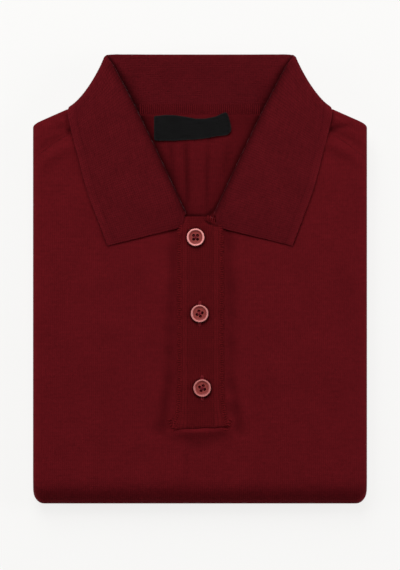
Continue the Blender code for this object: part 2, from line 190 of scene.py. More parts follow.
def cloth_wall(name, outer, inner, pattern, keep=None, **marks):
    """A closed wall of cloth between two matching grids of points.

    pattern is each point's place on the flat cloth, marks are values for each
    point, and a quad is left out where keep is False."""
    rows, columns = outer.shape[:2]
    count = rows * columns
    if keep is None:
        keep = np.ones((rows - 1, columns - 1), dtype=bool)
    number = np.arange(count).reshape(rows, columns)
    corners = (number[:-1, :-1], number[:-1, 1:], number[1:, 1:], number[1:, :-1])
    face = np.stack([corner[keep] for corner in corners], axis=1)
    starts = face.ravel()
    ends = np.roll(face, -1, axis=1).ravel()
    rim = ~np.isin(starts * count + ends, ends * count + starts)
    start, end = starts[rim], ends[rim]
    sides = np.stack([end, start, start + count, end + count], axis=1)
    faces = np.concatenate([face, face[:, ::-1] + count, sides])
    used, faces = np.unique(faces, return_inverse=True)
    faces = faces.reshape(-1, 4)
    points = np.concatenate([outer.reshape(-1, 3), inner.reshape(-1, 3)])[used]
    mesh = bpy.data.meshes.new(name)
    mesh.from_pydata(points.tolist(), [], faces.tolist())
    turn_faces_out(mesh)
    places = np.concatenate([pattern.reshape(-1, 2)] * 2)[used]
    corner_point = np.zeros(len(mesh.loops), dtype=np.int32)
    mesh.loops.foreach_get("vertex_index", corner_point)
    flat = mesh.uv_layers.new(name="cloth")
    flat.data.foreach_set("uv", places[corner_point].astype(np.float32).ravel())
    for mark, values in marks.items():
        stored = mesh.attributes.new(mark, "FLOAT", "POINT")
        values = np.broadcast_to(values, (rows, columns)).ravel()
        stored.data.foreach_set("value", np.tile(values, 2)[used].astype(np.float32))
    mesh.shade_smooth()
    mesh.set_sharp_from_angle(angle=math.radians(62))
    return in_scene(name, mesh)


def add_node(tree, kind, inputs=None, **settings):
    """A node with its settings, and its inputs given as values or linked sockets."""
    node = tree.nodes.new(kind)
    for setting, value in settings.items():
        setattr(node, setting, value)
    for key, value in (inputs or {}).items():
        if isinstance(value, bpy.types.NodeSocket):
            tree.links.new(value, node.inputs[key])
        else:
            node.inputs[key].default_value = value
    return node


def calculate(tree, operation, first, second=0.0, third=0.0):
    """The result of a Math node."""
    inputs = {0: first, 1: second, 2: third}
    return add_node(tree, "ShaderNodeMath", inputs, operation=operation).outputs[0]


def scaled(tree, vector, scale):
    """A vector or colour times a number."""
    return add_node(tree, "ShaderNodeVectorMath", {0: vector, "Scale": scale}, operation="SCALE").outputs[0]


def stretched(tree, vector, factors):
    """A vector with its own factor along each axis."""
    return add_node(tree, "ShaderNodeVectorMath", {0: vector, 1: factors}, operation="MULTIPLY").outputs[0]


def soft_noise(tree, vector, scale, detail):
    """Noise over the surface: its value first, then its colour."""
    return add_node(tree, "ShaderNodeTexNoise", {"Vector": vector, "Scale": scale, "Detail": detail}).outputs


def colour_ramp(tree, value, stops):
    """The colour of a value on a ramp. Each stop is a position and a colour."""
    ramp = add_node(tree, "ShaderNodeValToRGB", {0: value})
    while len(ramp.color_ramp.elements) < len(stops):
        ramp.color_ramp.elements.new(0.5)
    for stop, (position, colour) in zip(ramp.color_ramp.elements, stops):
        stop.position = position
        stop.color = (*colour, 1)
    return ramp.outputs[0]


def new_material(name):
    """A material, its node tree and its shader."""
    made = bpy.data.materials.new(name)
    made.use_nodes = True
    return made, made.node_tree, made.node_tree.nodes["Principled BSDF"]


def build_fine_knit():
    """Shader group for plain knit: legs of the stitches, which drift a little from straight,
    streaky courses, soft mottling and painted shade in the gaps between the legs."""
    tree = bpy.data.node_groups.new("fine_knit", "ShaderNodeTree")
    for name, kind, start in (("Cloth", "NodeSocketVector", (0, 0, 0)),
                              ("Yarn", "NodeSocketColor", (0.1, 0.01, 0.01, 1)),
                              ("Wale", "NodeSocketFloat", 0.0013),
                              ("Course", "NodeSocketFloat", 0.0010),
                              ("Streaks", "NodeSocketFloat", 0.3),
                              ("Mottle", "NodeSocketFloat", 0.3),
                              ("Gaps", "NodeSocketFloat", 0.4)):
        socket = tree.interface.new_socket(name, in_out="INPUT", socket_type=kind)
        socket.default_value = start
    tree.interface.new_socket("Color", in_out="OUTPUT", socket_type="NodeSocketColor")
    tree.interface.new_socket("Height", in_out="OUTPUT", socket_type="NodeSocketFloat")
    given = add_node(tree, "NodeGroupInput").outputs
    drift = soft_noise(tree, given["Cloth"], 140.0, 1.0)["Color"]
    drift = add_node(tree, "ShaderNodeVectorMath", {0: drift, 1: (0.5, 0.5, 0.5)}, operation="SUBTRACT")
    drift = add_node(tree, "ShaderNodeVectorMath",
                     {0: drift.outputs[0], 1: (0.0014, 0.0014, 0), 2: given["Cloth"]},
                     operation="MULTIPLY_ADD")
    place = add_node(tree, "ShaderNodeSeparateXYZ", {0: drift.outputs[0]}).outputs
    wale = calculate(tree, "FRACT", calculate(tree, "DIVIDE", place["X"], given["Wale"]))
    from_middle = calculate(tree, "ABSOLUTE", calculate(tree, "SUBTRACT", wale, 0.5))
    column = calculate(tree, "SINE", calculate(tree, "MULTIPLY", wale, math.pi))
    leg = calculate(tree, "SINE", calculate(tree, "MULTIPLY", from_middle, 2 * math.pi))
    leg = calculate(tree, "MULTIPLY", calculate(tree, "MULTIPLY_ADD", leg, 0.7, column), 0.62)
    course = calculate(tree, "DIVIDE", place["Y"], given["Course"])
    lean = calculate(tree, "MULTIPLY", calculate(tree, "ADD", course, from_middle), math.pi)
    loop = calculate(tree, "ABSOLUTE", calculate(tree, "SINE", lean))
    height = calculate(tree, "MULTIPLY", leg, calculate(tree, "MULTIPLY_ADD", loop, 0.6, 0.4))
    streak = soft_noise(tree, stretched(tree, given["Cloth"], (90, 400, 1)), 1.0, 2.0)[0]
    fine = soft_noise(tree, given["Cloth"], 400.0, 3.0)[0]
    broad = soft_noise(tree, given["Cloth"], 48.0, 2.0)[0]
    streak = calculate(tree, "SUBTRACT", streak, 0.5)
    shade = calculate(tree, "MULTIPLY_ADD", streak, given["Streaks"], 1.0)
    soft = calculate(tree, "ADD", fine, calculate(tree, "MULTIPLY", broad, 0.5))
    shade = calculate(tree, "MULTIPLY_ADD", calculate(tree, "SUBTRACT", soft, 0.75), given["Mottle"], shade)
    # Painted shade in the gaps between the legs of the stitches, patchy over the cloth.
    patchy = calculate(tree, "MULTIPLY_ADD", broad, 1.6, 0.2)
    patchy = calculate(tree, "MULTIPLY", given["Gaps"], patchy)
    gap = calculate(tree, "MULTIPLY", calculate(tree, "SUBTRACT", 0.5, height), patchy)
    shade = calculate(tree, "SUBTRACT", shade, gap)
    colour = scaled(tree, given["Yarn"], shade)
    add_node(tree, "NodeGroupOutput", {"Color": colour, "Height": height})
    return tree


fine_knit = build_fine_knit()


def knit_material(name, yarn, wale=0.00172, course=0.00125, streaks=0.28, mottle=0.43, gaps=0.26):
    """Soft dyed knit. A mark paints shade in crevices, where less light comes, and below zero paints
    highlights.
    """
    made, tree, shader = new_material(name)
    place = add_node(tree, "ShaderNodeUVMap", uv_map="cloth")
    knit = add_node(tree, "ShaderNodeGroup", node_tree=fine_knit)
    for socket, value in (("Yarn", (*yarn, 1)), ("Wale", wale), ("Course", course),
                          ("Streaks", streaks), ("Mottle", mottle), ("Gaps", gaps)):
        knit.inputs[socket].default_value = value
    tree.links.new(place.outputs[0], knit.inputs["Cloth"])
    # Painted shade and painted highlights, from the mark on the cloth.
    hollow = add_node(tree, "ShaderNodeAttribute", attribute_name="hollow")
    left = calculate(tree, "MULTIPLY_ADD", hollow.outputs["Fac"], -0.75, 1.0)
    raised = add_node(tree, "ShaderNodeBump",
                      {"Height": knit.outputs["Height"], "Distance": 0.00016, "Strength": 0.8})
    tree.links.new(scaled(tree, knit.outputs["Color"], left), shader.inputs["Base Color"])
    tree.links.new(raised.outputs[0], shader.inputs["Normal"])
    shader.inputs["Roughness"].default_value = 1.0
    shader.inputs["Specular IOR Level"].default_value = 0.02
    shader.inputs["Sheen Weight"].default_value = 0.17
    shader.inputs["Sheen Roughness"].default_value = 0.3
    shader.inputs["Sheen Tint"].default_value = (0.9, 0.66, 0.72, 1)
    return made


# Troughs and ridges of the back where it shows in the neck, and of both panels about
# the shoulder seams. Columns: start x, y, end x, y, half width, height, bow.
BACK_NECK_CREASES = (
    (-0.0125, 0.1230, -0.0108, 0.0560, 0.0022, -0.0010, 0.0008),
    (0.0072, 0.1190, 0.0058, 0.0540, 0.0020, -0.0007, -0.0006),
    (-0.0260, 0.1220, -0.0210, 0.0760, 0.0028, -0.0005, 0.0),
    (0.0240, 0.1180, 0.0190, 0.0800, 0.0030, -0.0004, 0.0),
    (-0.0030, 0.1170, -0.0025, 0.0520, 0.0030, 0.0004, 0.0),
    (-0.0190, 0.1150, -0.0165, 0.0650, 0.0028, 0.0004, 0.0),
    (0.0150, 0.1150, 0.0140, 0.0640, 0.0030, 0.0004, 0.0),
)
SHOULDER_CREASES = (
    (-0.0940, 0.1150, -0.1440, 0.0826, 0.0048, 0.0011, -0.0062),
    (0.0940, 0.1160, 0.1450, 0.0845, 0.0048, 0.0013, 0.0066),
    (-0.1000, 0.1075, -0.1420, 0.0770, 0.0042, -0.0004, -0.0045),
    (0.1000, 0.1090, 0.1430, 0.0800, 0.0042, -0.0004, 0.0055),
    (-0.1040, 0.1236, -0.1430, 0.0990, 0.0030, -0.0004, -0.0042),
    (0.1050, 0.1250, 0.1440, 0.1010, 0.0030, -0.0004, 0.0046),
    (0.1060, 0.1252, 0.1300, 0.1290, 0.0020, -0.0006, 0.0010),
    (-0.1190, 0.1330, -0.1330, 0.1240, 0.0024, 0.0004, 0.0),
    (0.1150, 0.1345, 0.1250, 0.1270, 0.0022, 0.0004, 0.0),
)
SHOULDER_DIMPLES = (
    (-0.1092, 0.1240, 0.0028, 0.0024, -0.0009),
    (0.1115, 0.1246, 0.0030, 0.0024, -0.0009),
    (-0.1152, 0.1322, 0.0026, 0.0030, 0.0009),
    (0.1142, 0.1338, 0.0026, 0.0032, 0.0009),
    (-0.1165, 0.1262, 0.0052, 0.0022, -0.0005),
    (0.1170, 0.1272, 0.0052, 0.0022, -0.0004),
)
# The edge of the neck opening as seen from above, from its low point up to the roll
# of the collar, on either side. Columns: x, y.
LEFT_NECK_EDGE = (
    (0.0000, 0.0526), (-0.0092, 0.0530), (-0.0122, 0.0556), (-0.0180, 0.0665), (-0.0334, 0.1020),
    (-0.0500, 0.1365), (-0.0640, 0.1635), (-0.0728, 0.1797), (-0.0766, 0.1852),
)
RIGHT_NECK_EDGE = (
    (0.0000, 0.0526), (0.0050, 0.0530), (0.0086, 0.0552), (0.0124, 0.0590), (0.0172, 0.0665),
    (0.0334, 0.1020), (0.0500, 0.1365), (0.0640, 0.1635), (0.0728, 0.1797), (0.0766, 0.1852),
)
# Where the edge of the collar's leaf lies on both panels. Columns: x, y.
LEFT_LEAF_EDGE = (
    (-0.1078, 0.1436), (-0.1105, 0.1380), (-0.1103, 0.1270), (-0.1080, 0.1225), (-0.1030, 0.1060),
    (-0.0950, 0.0755), (-0.0838, 0.0450), (-0.0775, 0.0280), (-0.0142, 0.0457),
)
RIGHT_LEAF_EDGE = tuple((-x, y) for x, y in LEFT_LEAF_EDGE)


def shoulder_relief(s, y):
    """Height of both panels over their plain form, about the shoulder seams."""
    return creases(s, y, SHOULDER_CREASES) + dimples(s, y, SHOULDER_DIMPLES)


def near_line(x, y, line, reach):
    """How near points lie to a line, 1 on it and 0 far off."""
    nearest = np.full(np.broadcast(x, y).shape, 1.0)
    for start, end in zip(line, line[1:]):
        along = np.array((end[0] - start[0], end[1] - start[1]))
        t = ((x - start[0]) * along[0] + (y - start[1]) * along[1]) / np.sum(along ** 2)
        t = np.clip(t, 0, 1)
        away = np.hypot(x - start[0] - t * along[0], y - start[1] - t * along[1])
        nearest = np.minimum(nearest, away)
    return np.exp(-(nearest / reach) ** 2)


def near_leaf(x, y, left_reach, right_reach):
    """How near points of a panel lie to the edge of the collar's leaf."""
    on_left = near_line(x, y, LEFT_LEAF_EDGE, left_reach)
    on_right = near_line(x, y, RIGHT_LEAF_EDGE, right_reach)
    return np.maximum(on_left, on_right)


def neck_shade(x, y):
    """How little light comes to points beside the roll of the collar, most on the left."""
    wide = np.interp(y, (0.055, 0.090, 0.170, 0.185), (0.6, 1.0, 1.0, 0.4))
    on_left = near_line(x, y, LEFT_NECK_EDGE, 0.0044 * wide)
    on_right = near_line(x, y, RIGHT_NECK_EDGE, 0.0034 * wide)
    return np.maximum(on_left, 0.9 * on_right)


cloth_columns = both_sides(steps_between((0, 0.0019), (slot_half, 0.0018), (shoulder_x, 0.0018),
                                         (flat_half, 0.0016), (flat_half + side_length, 0.0016)))
across = cloth_columns[None, :]
on_flat = np.clip((flat_half + side_length * 0.3 - np.abs(across)) / 0.008, 0, 1)
back_turn = inside_depth + cloth
back_seam = neck_line(np.maximum(np.abs(cloth_columns), shoulder_x)) + 0.0002
back_fold = shoulder_fold(np.maximum(np.abs(cloth_columns), shoulder_x)) - back_turn / 2
back_fold = back_fold + 0.0006 * (np.abs(cloth_columns) < shoulder_x)
strip_rows = np.linspace(0, 1, 15)[:-1]
turn_rows = np.linspace(0, math.pi, 9)
inside_rows = steps_between((0.0, 0.0062), (0.34, 0.02), (1.0, 0.02))[1:]
back_bend = -np.linspace(0, bend_length, 19)
back_hem_run = -bend_length - (back_hem_y - fold_y)
back_lower = np.linspace(-bend_length, back_hem_run, 15)[1:]

# The strips that come forward over the shoulders, with painted shade in their troughs and beside the leaf.
strip_run = back_seam - fold_y + strip_rows[:, None] * (back_fold - back_seam)
strip_y = fold_y + strip_run
strip_relief = (shoulder_relief(across, strip_y) + slow_waves(across, strip_y, 0.00010, 11)) * on_flat
strip_relief = strip_relief * np.clip((back_fold - strip_y) / 0.004, 0, 1)
strip_hollow = np.clip(-strip_relief / 0.0022, 0, 1) + 0.50 * near_leaf(across, strip_y, 0.0011, 0.0010)
# The inner side, which shows in the neck and lies in the shade of the collar: painted shade, most beside the
# roll.
inside_run = (1 - inside_rows[:, None]) * (back_fold - fold_y)
inside_y = fold_y + inside_run
in_neck = np.clip((0.070 - np.abs(across)) / 0.015, 0, 1)
neck_relief = creases(across, inside_y, BACK_NECK_CREASES) * in_neck
neck_hollow = np.clip(-neck_relief / 0.0022, 0, 1) + 0.22 + 0.12 * np.clip((inside_y - 0.124) / 0.008, 0, 1)
neck_hollow = neck_hollow + 0.75 * neck_shade(across, inside_y)


def face_of_back(near, far, strip_share, neck_share):
    """One face of the back: its depth on the strips and inside, and how far it follows the relief."""
    turn_radius = (far - near) / 2
    turn_depth = back_turn / 2 - turn_radius * np.cos(turn_rows[:, None])
    turn_run = back_fold - fold_y + turn_radius * np.sin(turn_rows[:, None])
    return np.concatenate([folded_points(across, strip_run, near - strip_relief * strip_share),
                           folded_points(across, turn_run, turn_depth),
                           folded_points(across, inside_run, far - neck_relief * neck_share),
                           folded_points(across, back_bend[:, None], far),
                           folded_points(across, back_lower[:, None], far)])


def on_all_columns(rows):
    """The same value on all columns of the cloth, for each row."""
    return np.broadcast_to(rows[:, None], (len(rows), len(cloth_columns)))


back_outer = face_of_back(0.0, back_turn, 1.0, 1.0)
back_inner = face_of_back(cloth, inside_depth, 0.4, 0.5)
# Where the strips and the fold of the shoulder lie along the flat panel.
flat_fold = 0.30
back_run = np.concatenate([flat_fold + (back_fold - back_seam) * (1 - strip_rows[:, None]),
                           flat_fold - 0.002 * on_all_columns(turn_rows),
                           flat_fold - 0.006 - inside_rows[:, None] * (back_fold - fold_y),
                           on_all_columns(back_bend),
                           on_all_columns(back_lower)])
back_flat = np.stack([np.broadcast_to(cloth_columns, back_run.shape), back_run], axis=-1)
# Painted shade of the back: on the strips and on the inner side in the neck.
back_hollow = np.zeros(back_run.shape)
back_hollow[:len(strip_rows)] = strip_hollow
first_inside = len(strip_rows) + len(turn_rows)
back_hollow[first_inside:first_inside + len(inside_rows)] = neck_hollow
keep_back = np.ones((len(back_run) - 1, len(cloth_columns) - 1), dtype=bool)
between = np.maximum(np.abs(cloth_columns[:-1]), np.abs(cloth_columns[1:])) <= shoulder_x + 1e-6
keep_back[:first_inside - 1, between] = False

body_yarn = (0.0960, 0.0051, 0.0076)
back = cloth_wall("back_knit", back_outer, back_inner, back_flat, keep_back, hollow=back_hollow)
back.data.materials.append(knit_material("knit_back", body_yarn))
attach(back, "root")
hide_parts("back")

# -------------------------------------------------------- the hidden layers
# The side strips and the sleeves are turned in behind the chest, and the lower half
# is folded up over them. They only show as rounded ends at the shoulder side.

core_half = flat_half - 0.0005
core_depth = inside_depth + cloth + face_to_face
core_round = 0.003
core_groove = 0.007
# Layers from the top. Columns: upper z, lower z, y of the layer's end.
CORE_LAYERS = (
    (0.0181, 0.0148, 0.1270),
    (0.0144, 0.0113, 0.1215),
    (0.0107, 0.0076, 0.1085),
    (0.0072, 0.0039, 0.1130),
)


def core_profile(place):
    """Side outline of the stack of hidden layers at one place across it."""
    shrink = core_round * max(0.0, (abs(place) - 0.86) / 0.14) ** 3 * 0.5
    points = []
    for layer, (top, bottom, end) in enumerate(CORE_LAYERS):
        top_z = top - shrink if layer == 0 else top
        bottom_z = bottom + shrink if layer == len(CORE_LAYERS) - 1 else bottom
        middle = (top_z + bottom_z) / 2
        radius = (top_z - bottom_z) / 2
        wander = 0.0008 * math.sin(place * (5 + 3 * layer) + layer)
        wander += 0.0005 * math.sin(place * 17 + 2 * layer)
        points.append((end - shrink - core_groove, top_z))
        for angle in np.radians(np.linspace(80, -80, 11)):
            end_y = end + wander - shrink - radius + radius * math.cos(angle)
            points.append((end_y, middle + radius * math.sin(angle)))
        points.append((end - shrink - core_groove, bottom_z))
    scale = (half_height - core_depth - shrink) / half_height
    for angle in np.linspace(math.pi, 0, 17):
        turn_y = fold_y - fold_reach * scale * math.sin(angle)
        points.append((turn_y, half_height + half_height * scale * math.cos(angle)))
    return points


round_places = [0.9, 0.93, 0.955, 0.975, 0.988, 0.996, 1.0]
core_places = both_sides(np.concatenate([np.linspace(0, 0.86, 25), round_places]))
core_rings = [[(place * core_half, y, z) for y, z in core_profile(place)] for place in core_places]
ring_size = len(core_rings[0])
last_ring = ring_size * (len(core_rings) - 1)
core_faces = [list(range(ring_size)), list(range(last_ring, last_ring + ring_size))]
for first in range(0, last_ring, ring_size):
    for k in range(ring_size):
        after = (k + 1) % ring_size
        core_faces.append([first + k, first + after, first + ring_size + after, first + ring_size + k])
core_mesh = bpy.data.meshes.new("folded_layers_knit")
core_mesh.from_pydata([point for ring in core_rings for point in ring], [], core_faces)
turn_faces_out(core_mesh)
core_flat = core_mesh.uv_layers.new(name="cloth")
for loop in core_mesh.loops:
    point = core_mesh.vertices[loop.vertex_index].co
    core_flat.data[loop.index].uv = (point.x, point.y + point.z)
core_mesh.shade_smooth()
core_mesh.set_sharp_from_angle(angle=math.radians(50))
layers = in_scene("folded_layers_knit", core_mesh)
layers.data.materials.append(knit_material("knit_folded", body_yarn))
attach(layers, "root")
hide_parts("folded_layers")

# ----------------------------------------------------------------- the front
# The front is one panel of the same knit, wrapped round both sides and the bottom
# fold. It sinks a little beside the placket and pouches under it, where the band is
# linked into a slit, and rises to a soft ridge along each shoulder seam.

# Columns: start x, y, end x, y, half width, height, bow.
FRONT_CREASES = (
    (-0.0238, 0.0560, -0.0240, -0.0360, 0.0046, -0.0009, 0.0007),
    (-0.0242, -0.0100, -0.0246, -0.0900, 0.0050, -0.0009, -0.0006),
    (-0.0246, -0.0700, -0.0340, -0.1330, 0.0048, -0.0011, 0.0010),
    (0.0240, 0.0560, 0.0246, -0.0240, 0.0046, -0.0009, -0.0006),
    (0.0246, 0.0020, 0.0250, -0.0980, 0.0052, -0.0009, 0.0007),
    (0.0252, -0.0760, 0.0352, -0.1320, 0.0046, -0.0011, -0.0010),
    (-0.0400, -0.1210, 0.0060, -0.1410, 0.0062, -0.0008, -0.0012),
    (0.0400, -0.1210, -0.0100, -0.1410, 0.0062, -0.0008, 0.0012),
    (-0.0300, -0.1280, 0.0285, -0.1254, 0.0038, 0.0018, -0.0008),
    (-0.1200, 0.0100, -0.1180, -0.0700, 0.0080, -0.0003, 0.0010),
    (0.1210, 0.0150, 0.1190, -0.0680, 0.0080, -0.0003, -0.0010),
    (-0.0112, -0.1380, -0.0118, -0.1830, 0.0022, -0.0005, 0.0),
    (-0.0900, -0.0300, -0.0500, -0.0550, 0.0090, 0.0004, 0.0),
    (0.0520, -0.0220, 0.0930, -0.0440, 0.0100, 0.0004, 0.0),
    (-0.0980, -0.0900, -0.0560, -0.1040, 0.0120, -0.0002, 0.0),
    (0.0500, -0.0960, 0.1000, -0.0840, 0.0120, -0.0002, 0.0),
)


def front_relief(s, y):
    """Height of the front's face over its plain folded form."""
    beside_placket = np.exp(-((np.abs(s) - 0.0255) / 0.0065) ** 2) * np.clip((0.050 - y) / 0.01, 0, 1)
    beside_placket = beside_placket * np.clip((y + 0.150) / 0.02, 0, 1)
    uneven = slow_waves(2.2 * s, 3.2 * y, 0.00022, 8) * beside_placket
    return creases(s, y, FRONT_CREASES) + shoulder_relief(s, y) + slow_waves(s, y, 0.00010, 11) + uneven


slot_share = (slot_end_y - fold_y) / (neck_low_y - fold_y)
face_rows = steps_between((0, 0.0085), (slot_share, 0.0060), (1, 0.0060))
face_run = face_rows[::-1, None] * (neck_line(across) - fold_y)
front_bend = -np.linspace(0, bend_length, 33)[1:]
front_hem_run = -bend_length - (front_hem_y - fold_y)
front_lower = np.linspace(-bend_length, front_hem_run, 25)[1:]
front_run = np.concatenate([face_run, on_all_columns(front_bend), on_all_columns(front_lower)])
on_face = np.clip(1 + front_run / 0.022, 0, 1) * on_flat
relief = front_relief(across, fold_y + front_run) * on_face
front_outer = folded_points(across, front_run, -relief)
front_inner = folded_points(across, front_run, cloth - 0.3 * relief)
front_flat = np.stack([np.broadcast_to(across, front_run.shape), front_run], axis=-1)
keep_front = np.ones((len(front_run) - 1, across.size - 1), dtype=bool)
in_slot = np.maximum(np.abs(cloth_columns[:-1]), np.abs(cloth_columns[1:])) <= slot_half + 1e-6
slot_rows = int(np.sum(face_rows > slot_share + 1e-6))
keep_front[:slot_rows, in_slot] = False

# Painted shade in troughs, by the leaf's edge and where the bottom fold turns down; painted highlight on its
# rim.
bottom_turn = np.clip(-front_run / bend_length, 0, 1) * math.pi
fold_dark = np.exp(-((bottom_turn - 0.64) / 0.26) ** 2)
fold_rim = np.clip((bottom_turn - 0.94) / 0.16, 0, 1) * np.clip((2.3 - bottom_turn) / 0.5, 0, 1)
under_leaf = near_leaf(across, fold_y + front_run, 0.0011, 0.0011) * (on_face > 0)
front_hollow = np.clip(-relief / 0.0030, 0, 1) + 0.45 * under_leaf + 0.26 * fold_dark - 0.55 * fold_rim
front = cloth_wall("front_knit", front_outer, front_inner, front_flat, keep_front, hollow=front_hollow)
front.data.materials.append(knit_material("knit_body", body_yarn))
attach(front, "root")
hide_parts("front")

# --------------------------------------------------------------- the placket
# Two bands of ribbed knit lie over each other. The upper one has a thin strip down
# each side, linked to the front with small cross stitches, and both end in a slit.

# Columns: y, left strip x, left band x, right band x, right strip x.
PLACKET_ROWS = (
    (0.0526, -0.0128, -0.0100, 0.0066, 0.0090),
    (0.0500, -0.0148, -0.0101, 0.0084, 0.0112),
    (0.0470, -0.0160, -0.0102, 0.0104, 0.0130),
    (0.0462, -0.0180, -0.0102, 0.0108, 0.0186),
    (0.0400, -0.0189, -0.0105, 0.0112, 0.0194),
    (0.0000, -0.0189, -0.0105, 0.0113, 0.0196),
    (-0.0450, -0.0188, -0.0104, 0.0113, 0.0196),
    (-0.0900, -0.0188, -0.0103, 0.0113, 0.0197),
    (-0.1030, -0.0194, -0.0103, 0.0113, 0.0206),
    (-0.1140, -0.0212, -0.0103, 0.0113, 0.0228),
    (-0.1220, -0.0238, -0.0104, 0.0114, 0.0252),
    (-0.1246, -0.0232, -0.0104, 0.0114, 0.0246),
)
# The tuck that the right end of the collar leaves in the band. Columns: x, y.
COLLAR_TUCK = ((0.0050, 0.0486), (0.0078, 0.0466), (0.0104, 0.0458), (0.0140, 0.0450))
placket_base = pack_height + face_to_face
band_cloth = 0.0015
strip_cloth = 0.0010
rib_pitch = 0.00175


def build_ribs():
    """Geometry nodes that raise ribs over the mark rib, a distance over the cloth."""
    tree = bpy.data.node_groups.new("raised_ribs", "GeometryNodeTree")
    face = tree.interface
    face.new_socket("Geometry", in_out="INPUT", socket_type="NodeSocketGeometry")
    for name, start in (("Pitch", 0.0018), ("Rise", 0.0001)):
        face.new_socket(name, in_out="INPUT", socket_type="NodeSocketFloat").default_value = start
    face.new_socket("Material", in_out="INPUT", socket_type="NodeSocketMaterial")
    face.new_socket("Geometry", in_out="OUTPUT", socket_type="NodeSocketGeometry")
    given = add_node(tree, "NodeGroupInput").outputs
    rib = add_node(tree, "GeometryNodeInputNamedAttribute", {"Name": "rib"}, data_type="FLOAT")
    ribbed = add_node(tree, "GeometryNodeInputNamedAttribute", {"Name": "ribbed"}, data_type="FLOAT")
    turns = calculate(tree, "DIVIDE", rib.outputs[0], given["Pitch"])
    wave = calculate(tree, "COSINE", calculate(tree, "MULTIPLY", turns, 2 * math.pi))
    rise = calculate(tree, "MULTIPLY", wave, given["Rise"])
    rise = calculate(tree, "MULTIPLY", rise, ribbed.outputs[0])
    normal = add_node(tree, "GeometryNodeInputNormal")
    offset = scaled(tree, normal.outputs[0], rise)
    raised = add_node(tree, "GeometryNodeSetPosition", {"Geometry": given["Geometry"], "Offset": offset})
    real = add_node(tree, "GeometryNodeRealizeInstances", {"Geometry": raised.outputs[0]})
    painted = add_node(tree, "GeometryNodeSetMaterial",
                       {"Geometry": real.outputs[0], "Material": given["Material"]})
    add_node(tree, "NodeGroupOutput", {"Geometry": painted.outputs[0]})
    return tree


def final_mesh(piece):
    """The plain mesh that a piece's modifiers, or a curve's bevel, make of it."""
    depsgraph = bpy.context.evaluated_depsgraph_get()
    return bpy.data.meshes.new_from_object(piece.evaluated_get(depsgraph), preserve_all_data_layers=True,
                                           depsgraph=depsgraph)


def apply_tree(piece, tree, **values):
    """Turns the piece into the plain mesh that a geometry node tree makes of it."""
    change = piece.modifiers.new(tree.name, "NODES")
    change.node_group = tree
    for item in tree.interface.items_tree:
        if item.in_out == "INPUT" and item.name in values:
            change[item.identifier] = values[item.name]
    made = final_mesh(piece)
    piece.modifiers.remove(change)
    piece.data = made
    return piece


raised_ribs = build_ribs()
placket_table = np.array(PLACKET_ROWS)
placket_y = steps_between((0.0526, 0.0013), (0.0470, 0.0004), (0.0462, 0.0013), (-0.1246, 0.0013))[:, None]
left, band_left, band_right, right = [np.interp(-placket_y, -placket_table[:, 0], column)
                                      for column in placket_table[:, 1:].T]
band_ribs = 12
strip_steps = 16
strip_share = np.linspace(0, 1, strip_steps + 1)
band_share = np.linspace(0, 1, 4 * band_ribs + 1)
placket_x = np.concatenate([left + (band_left - left) * strip_share[:-1] * 0.97,
                            band_left + (band_right - band_left) * band_share,
                            band_right + (right - band_right) * (0.03 + 0.97 * strip_share[1:])], axis=1)
band_rib = np.linspace(0, band_ribs, len(band_share)) * rib_pitch
strip_rib = strip_share * 4 * rib_pitch
placket_rib = np.concatenate([strip_rib[:-1], band_rib, strip_rib[1:]])
in_band = np.concatenate([np.zeros(strip_steps), np.ones(len(band_share)), np.zeros(strip_steps)])

# The band stands proud of the strips, and both are pressed thin into the slit.
edge = np.minimum(np.arange(len(in_band)), np.arange(len(in_band))[::-1])
inner_share = np.clip(edge / strip_steps, 0, 1)
strip_rise = 0.0003 + (strip_cloth - 0.0003) * np.sqrt(np.clip(edge / 3, 0, 1))
strip_rise = strip_rise + (band_cloth - strip_cloth) * inner_share ** 2
valley = np.exp(-((edge - strip_steps) / 1.3) ** 2)
placket_rise = np.where(in_band > 0, band_cloth, strip_rise) - 0.00010 * valley
end_rows = np.clip((placket_y + 0.1246) / 0.0014, 0, 1)
corner = 0.3 * (1 - end_rows) * np.clip((np.abs(placket_x) - 0.0190) / 0.0035, 0, 1)
end_height = 0.65 * inner_share + 0.20 * (1 - inner_share)
placket_rise = placket_rise * (end_height + (1 - end_height) * np.sqrt(end_rows)) * (1 - corner)
placket_rise = placket_rise + slow_waves(placket_x, placket_y, 0.00010, 3)
placket_rise = placket_rise - 0.0005 * near_line(placket_x, placket_y, COLLAR_TUCK, 0.0009)
front_under = front_relief(placket_x, placket_y) * (1 - inner_share)
# The linking scallops the outer edges a little, and the end runs askew.
scallops = 0.00035 * np.sin(2 * math.pi * placket_y / 0.0021)
placket_x = placket_x + np.sign(placket_x) * scallops * np.exp(-(edge / 1.2) ** 2)
askew = 0.045 * placket_x + 0.00025 * np.sin(placket_x * 420)
end_y = placket_y + askew * np.clip((-0.112 - placket_y) / 0.0126, 0, 1)
placket_outer = np.stack([placket_x, end_y, placket_base + front_under + placket_rise], axis=-1)
placket_inner = placket_outer.copy()
placket_inner[..., 2] = placket_base + front_under
placket_flat = np.stack(np.broadcast_arrays(placket_rib, placket_y), axis=-1)
ribbed = np.where(in_band > 0, 1.0, 0.35) * np.clip(edge / 2, 0, 1)
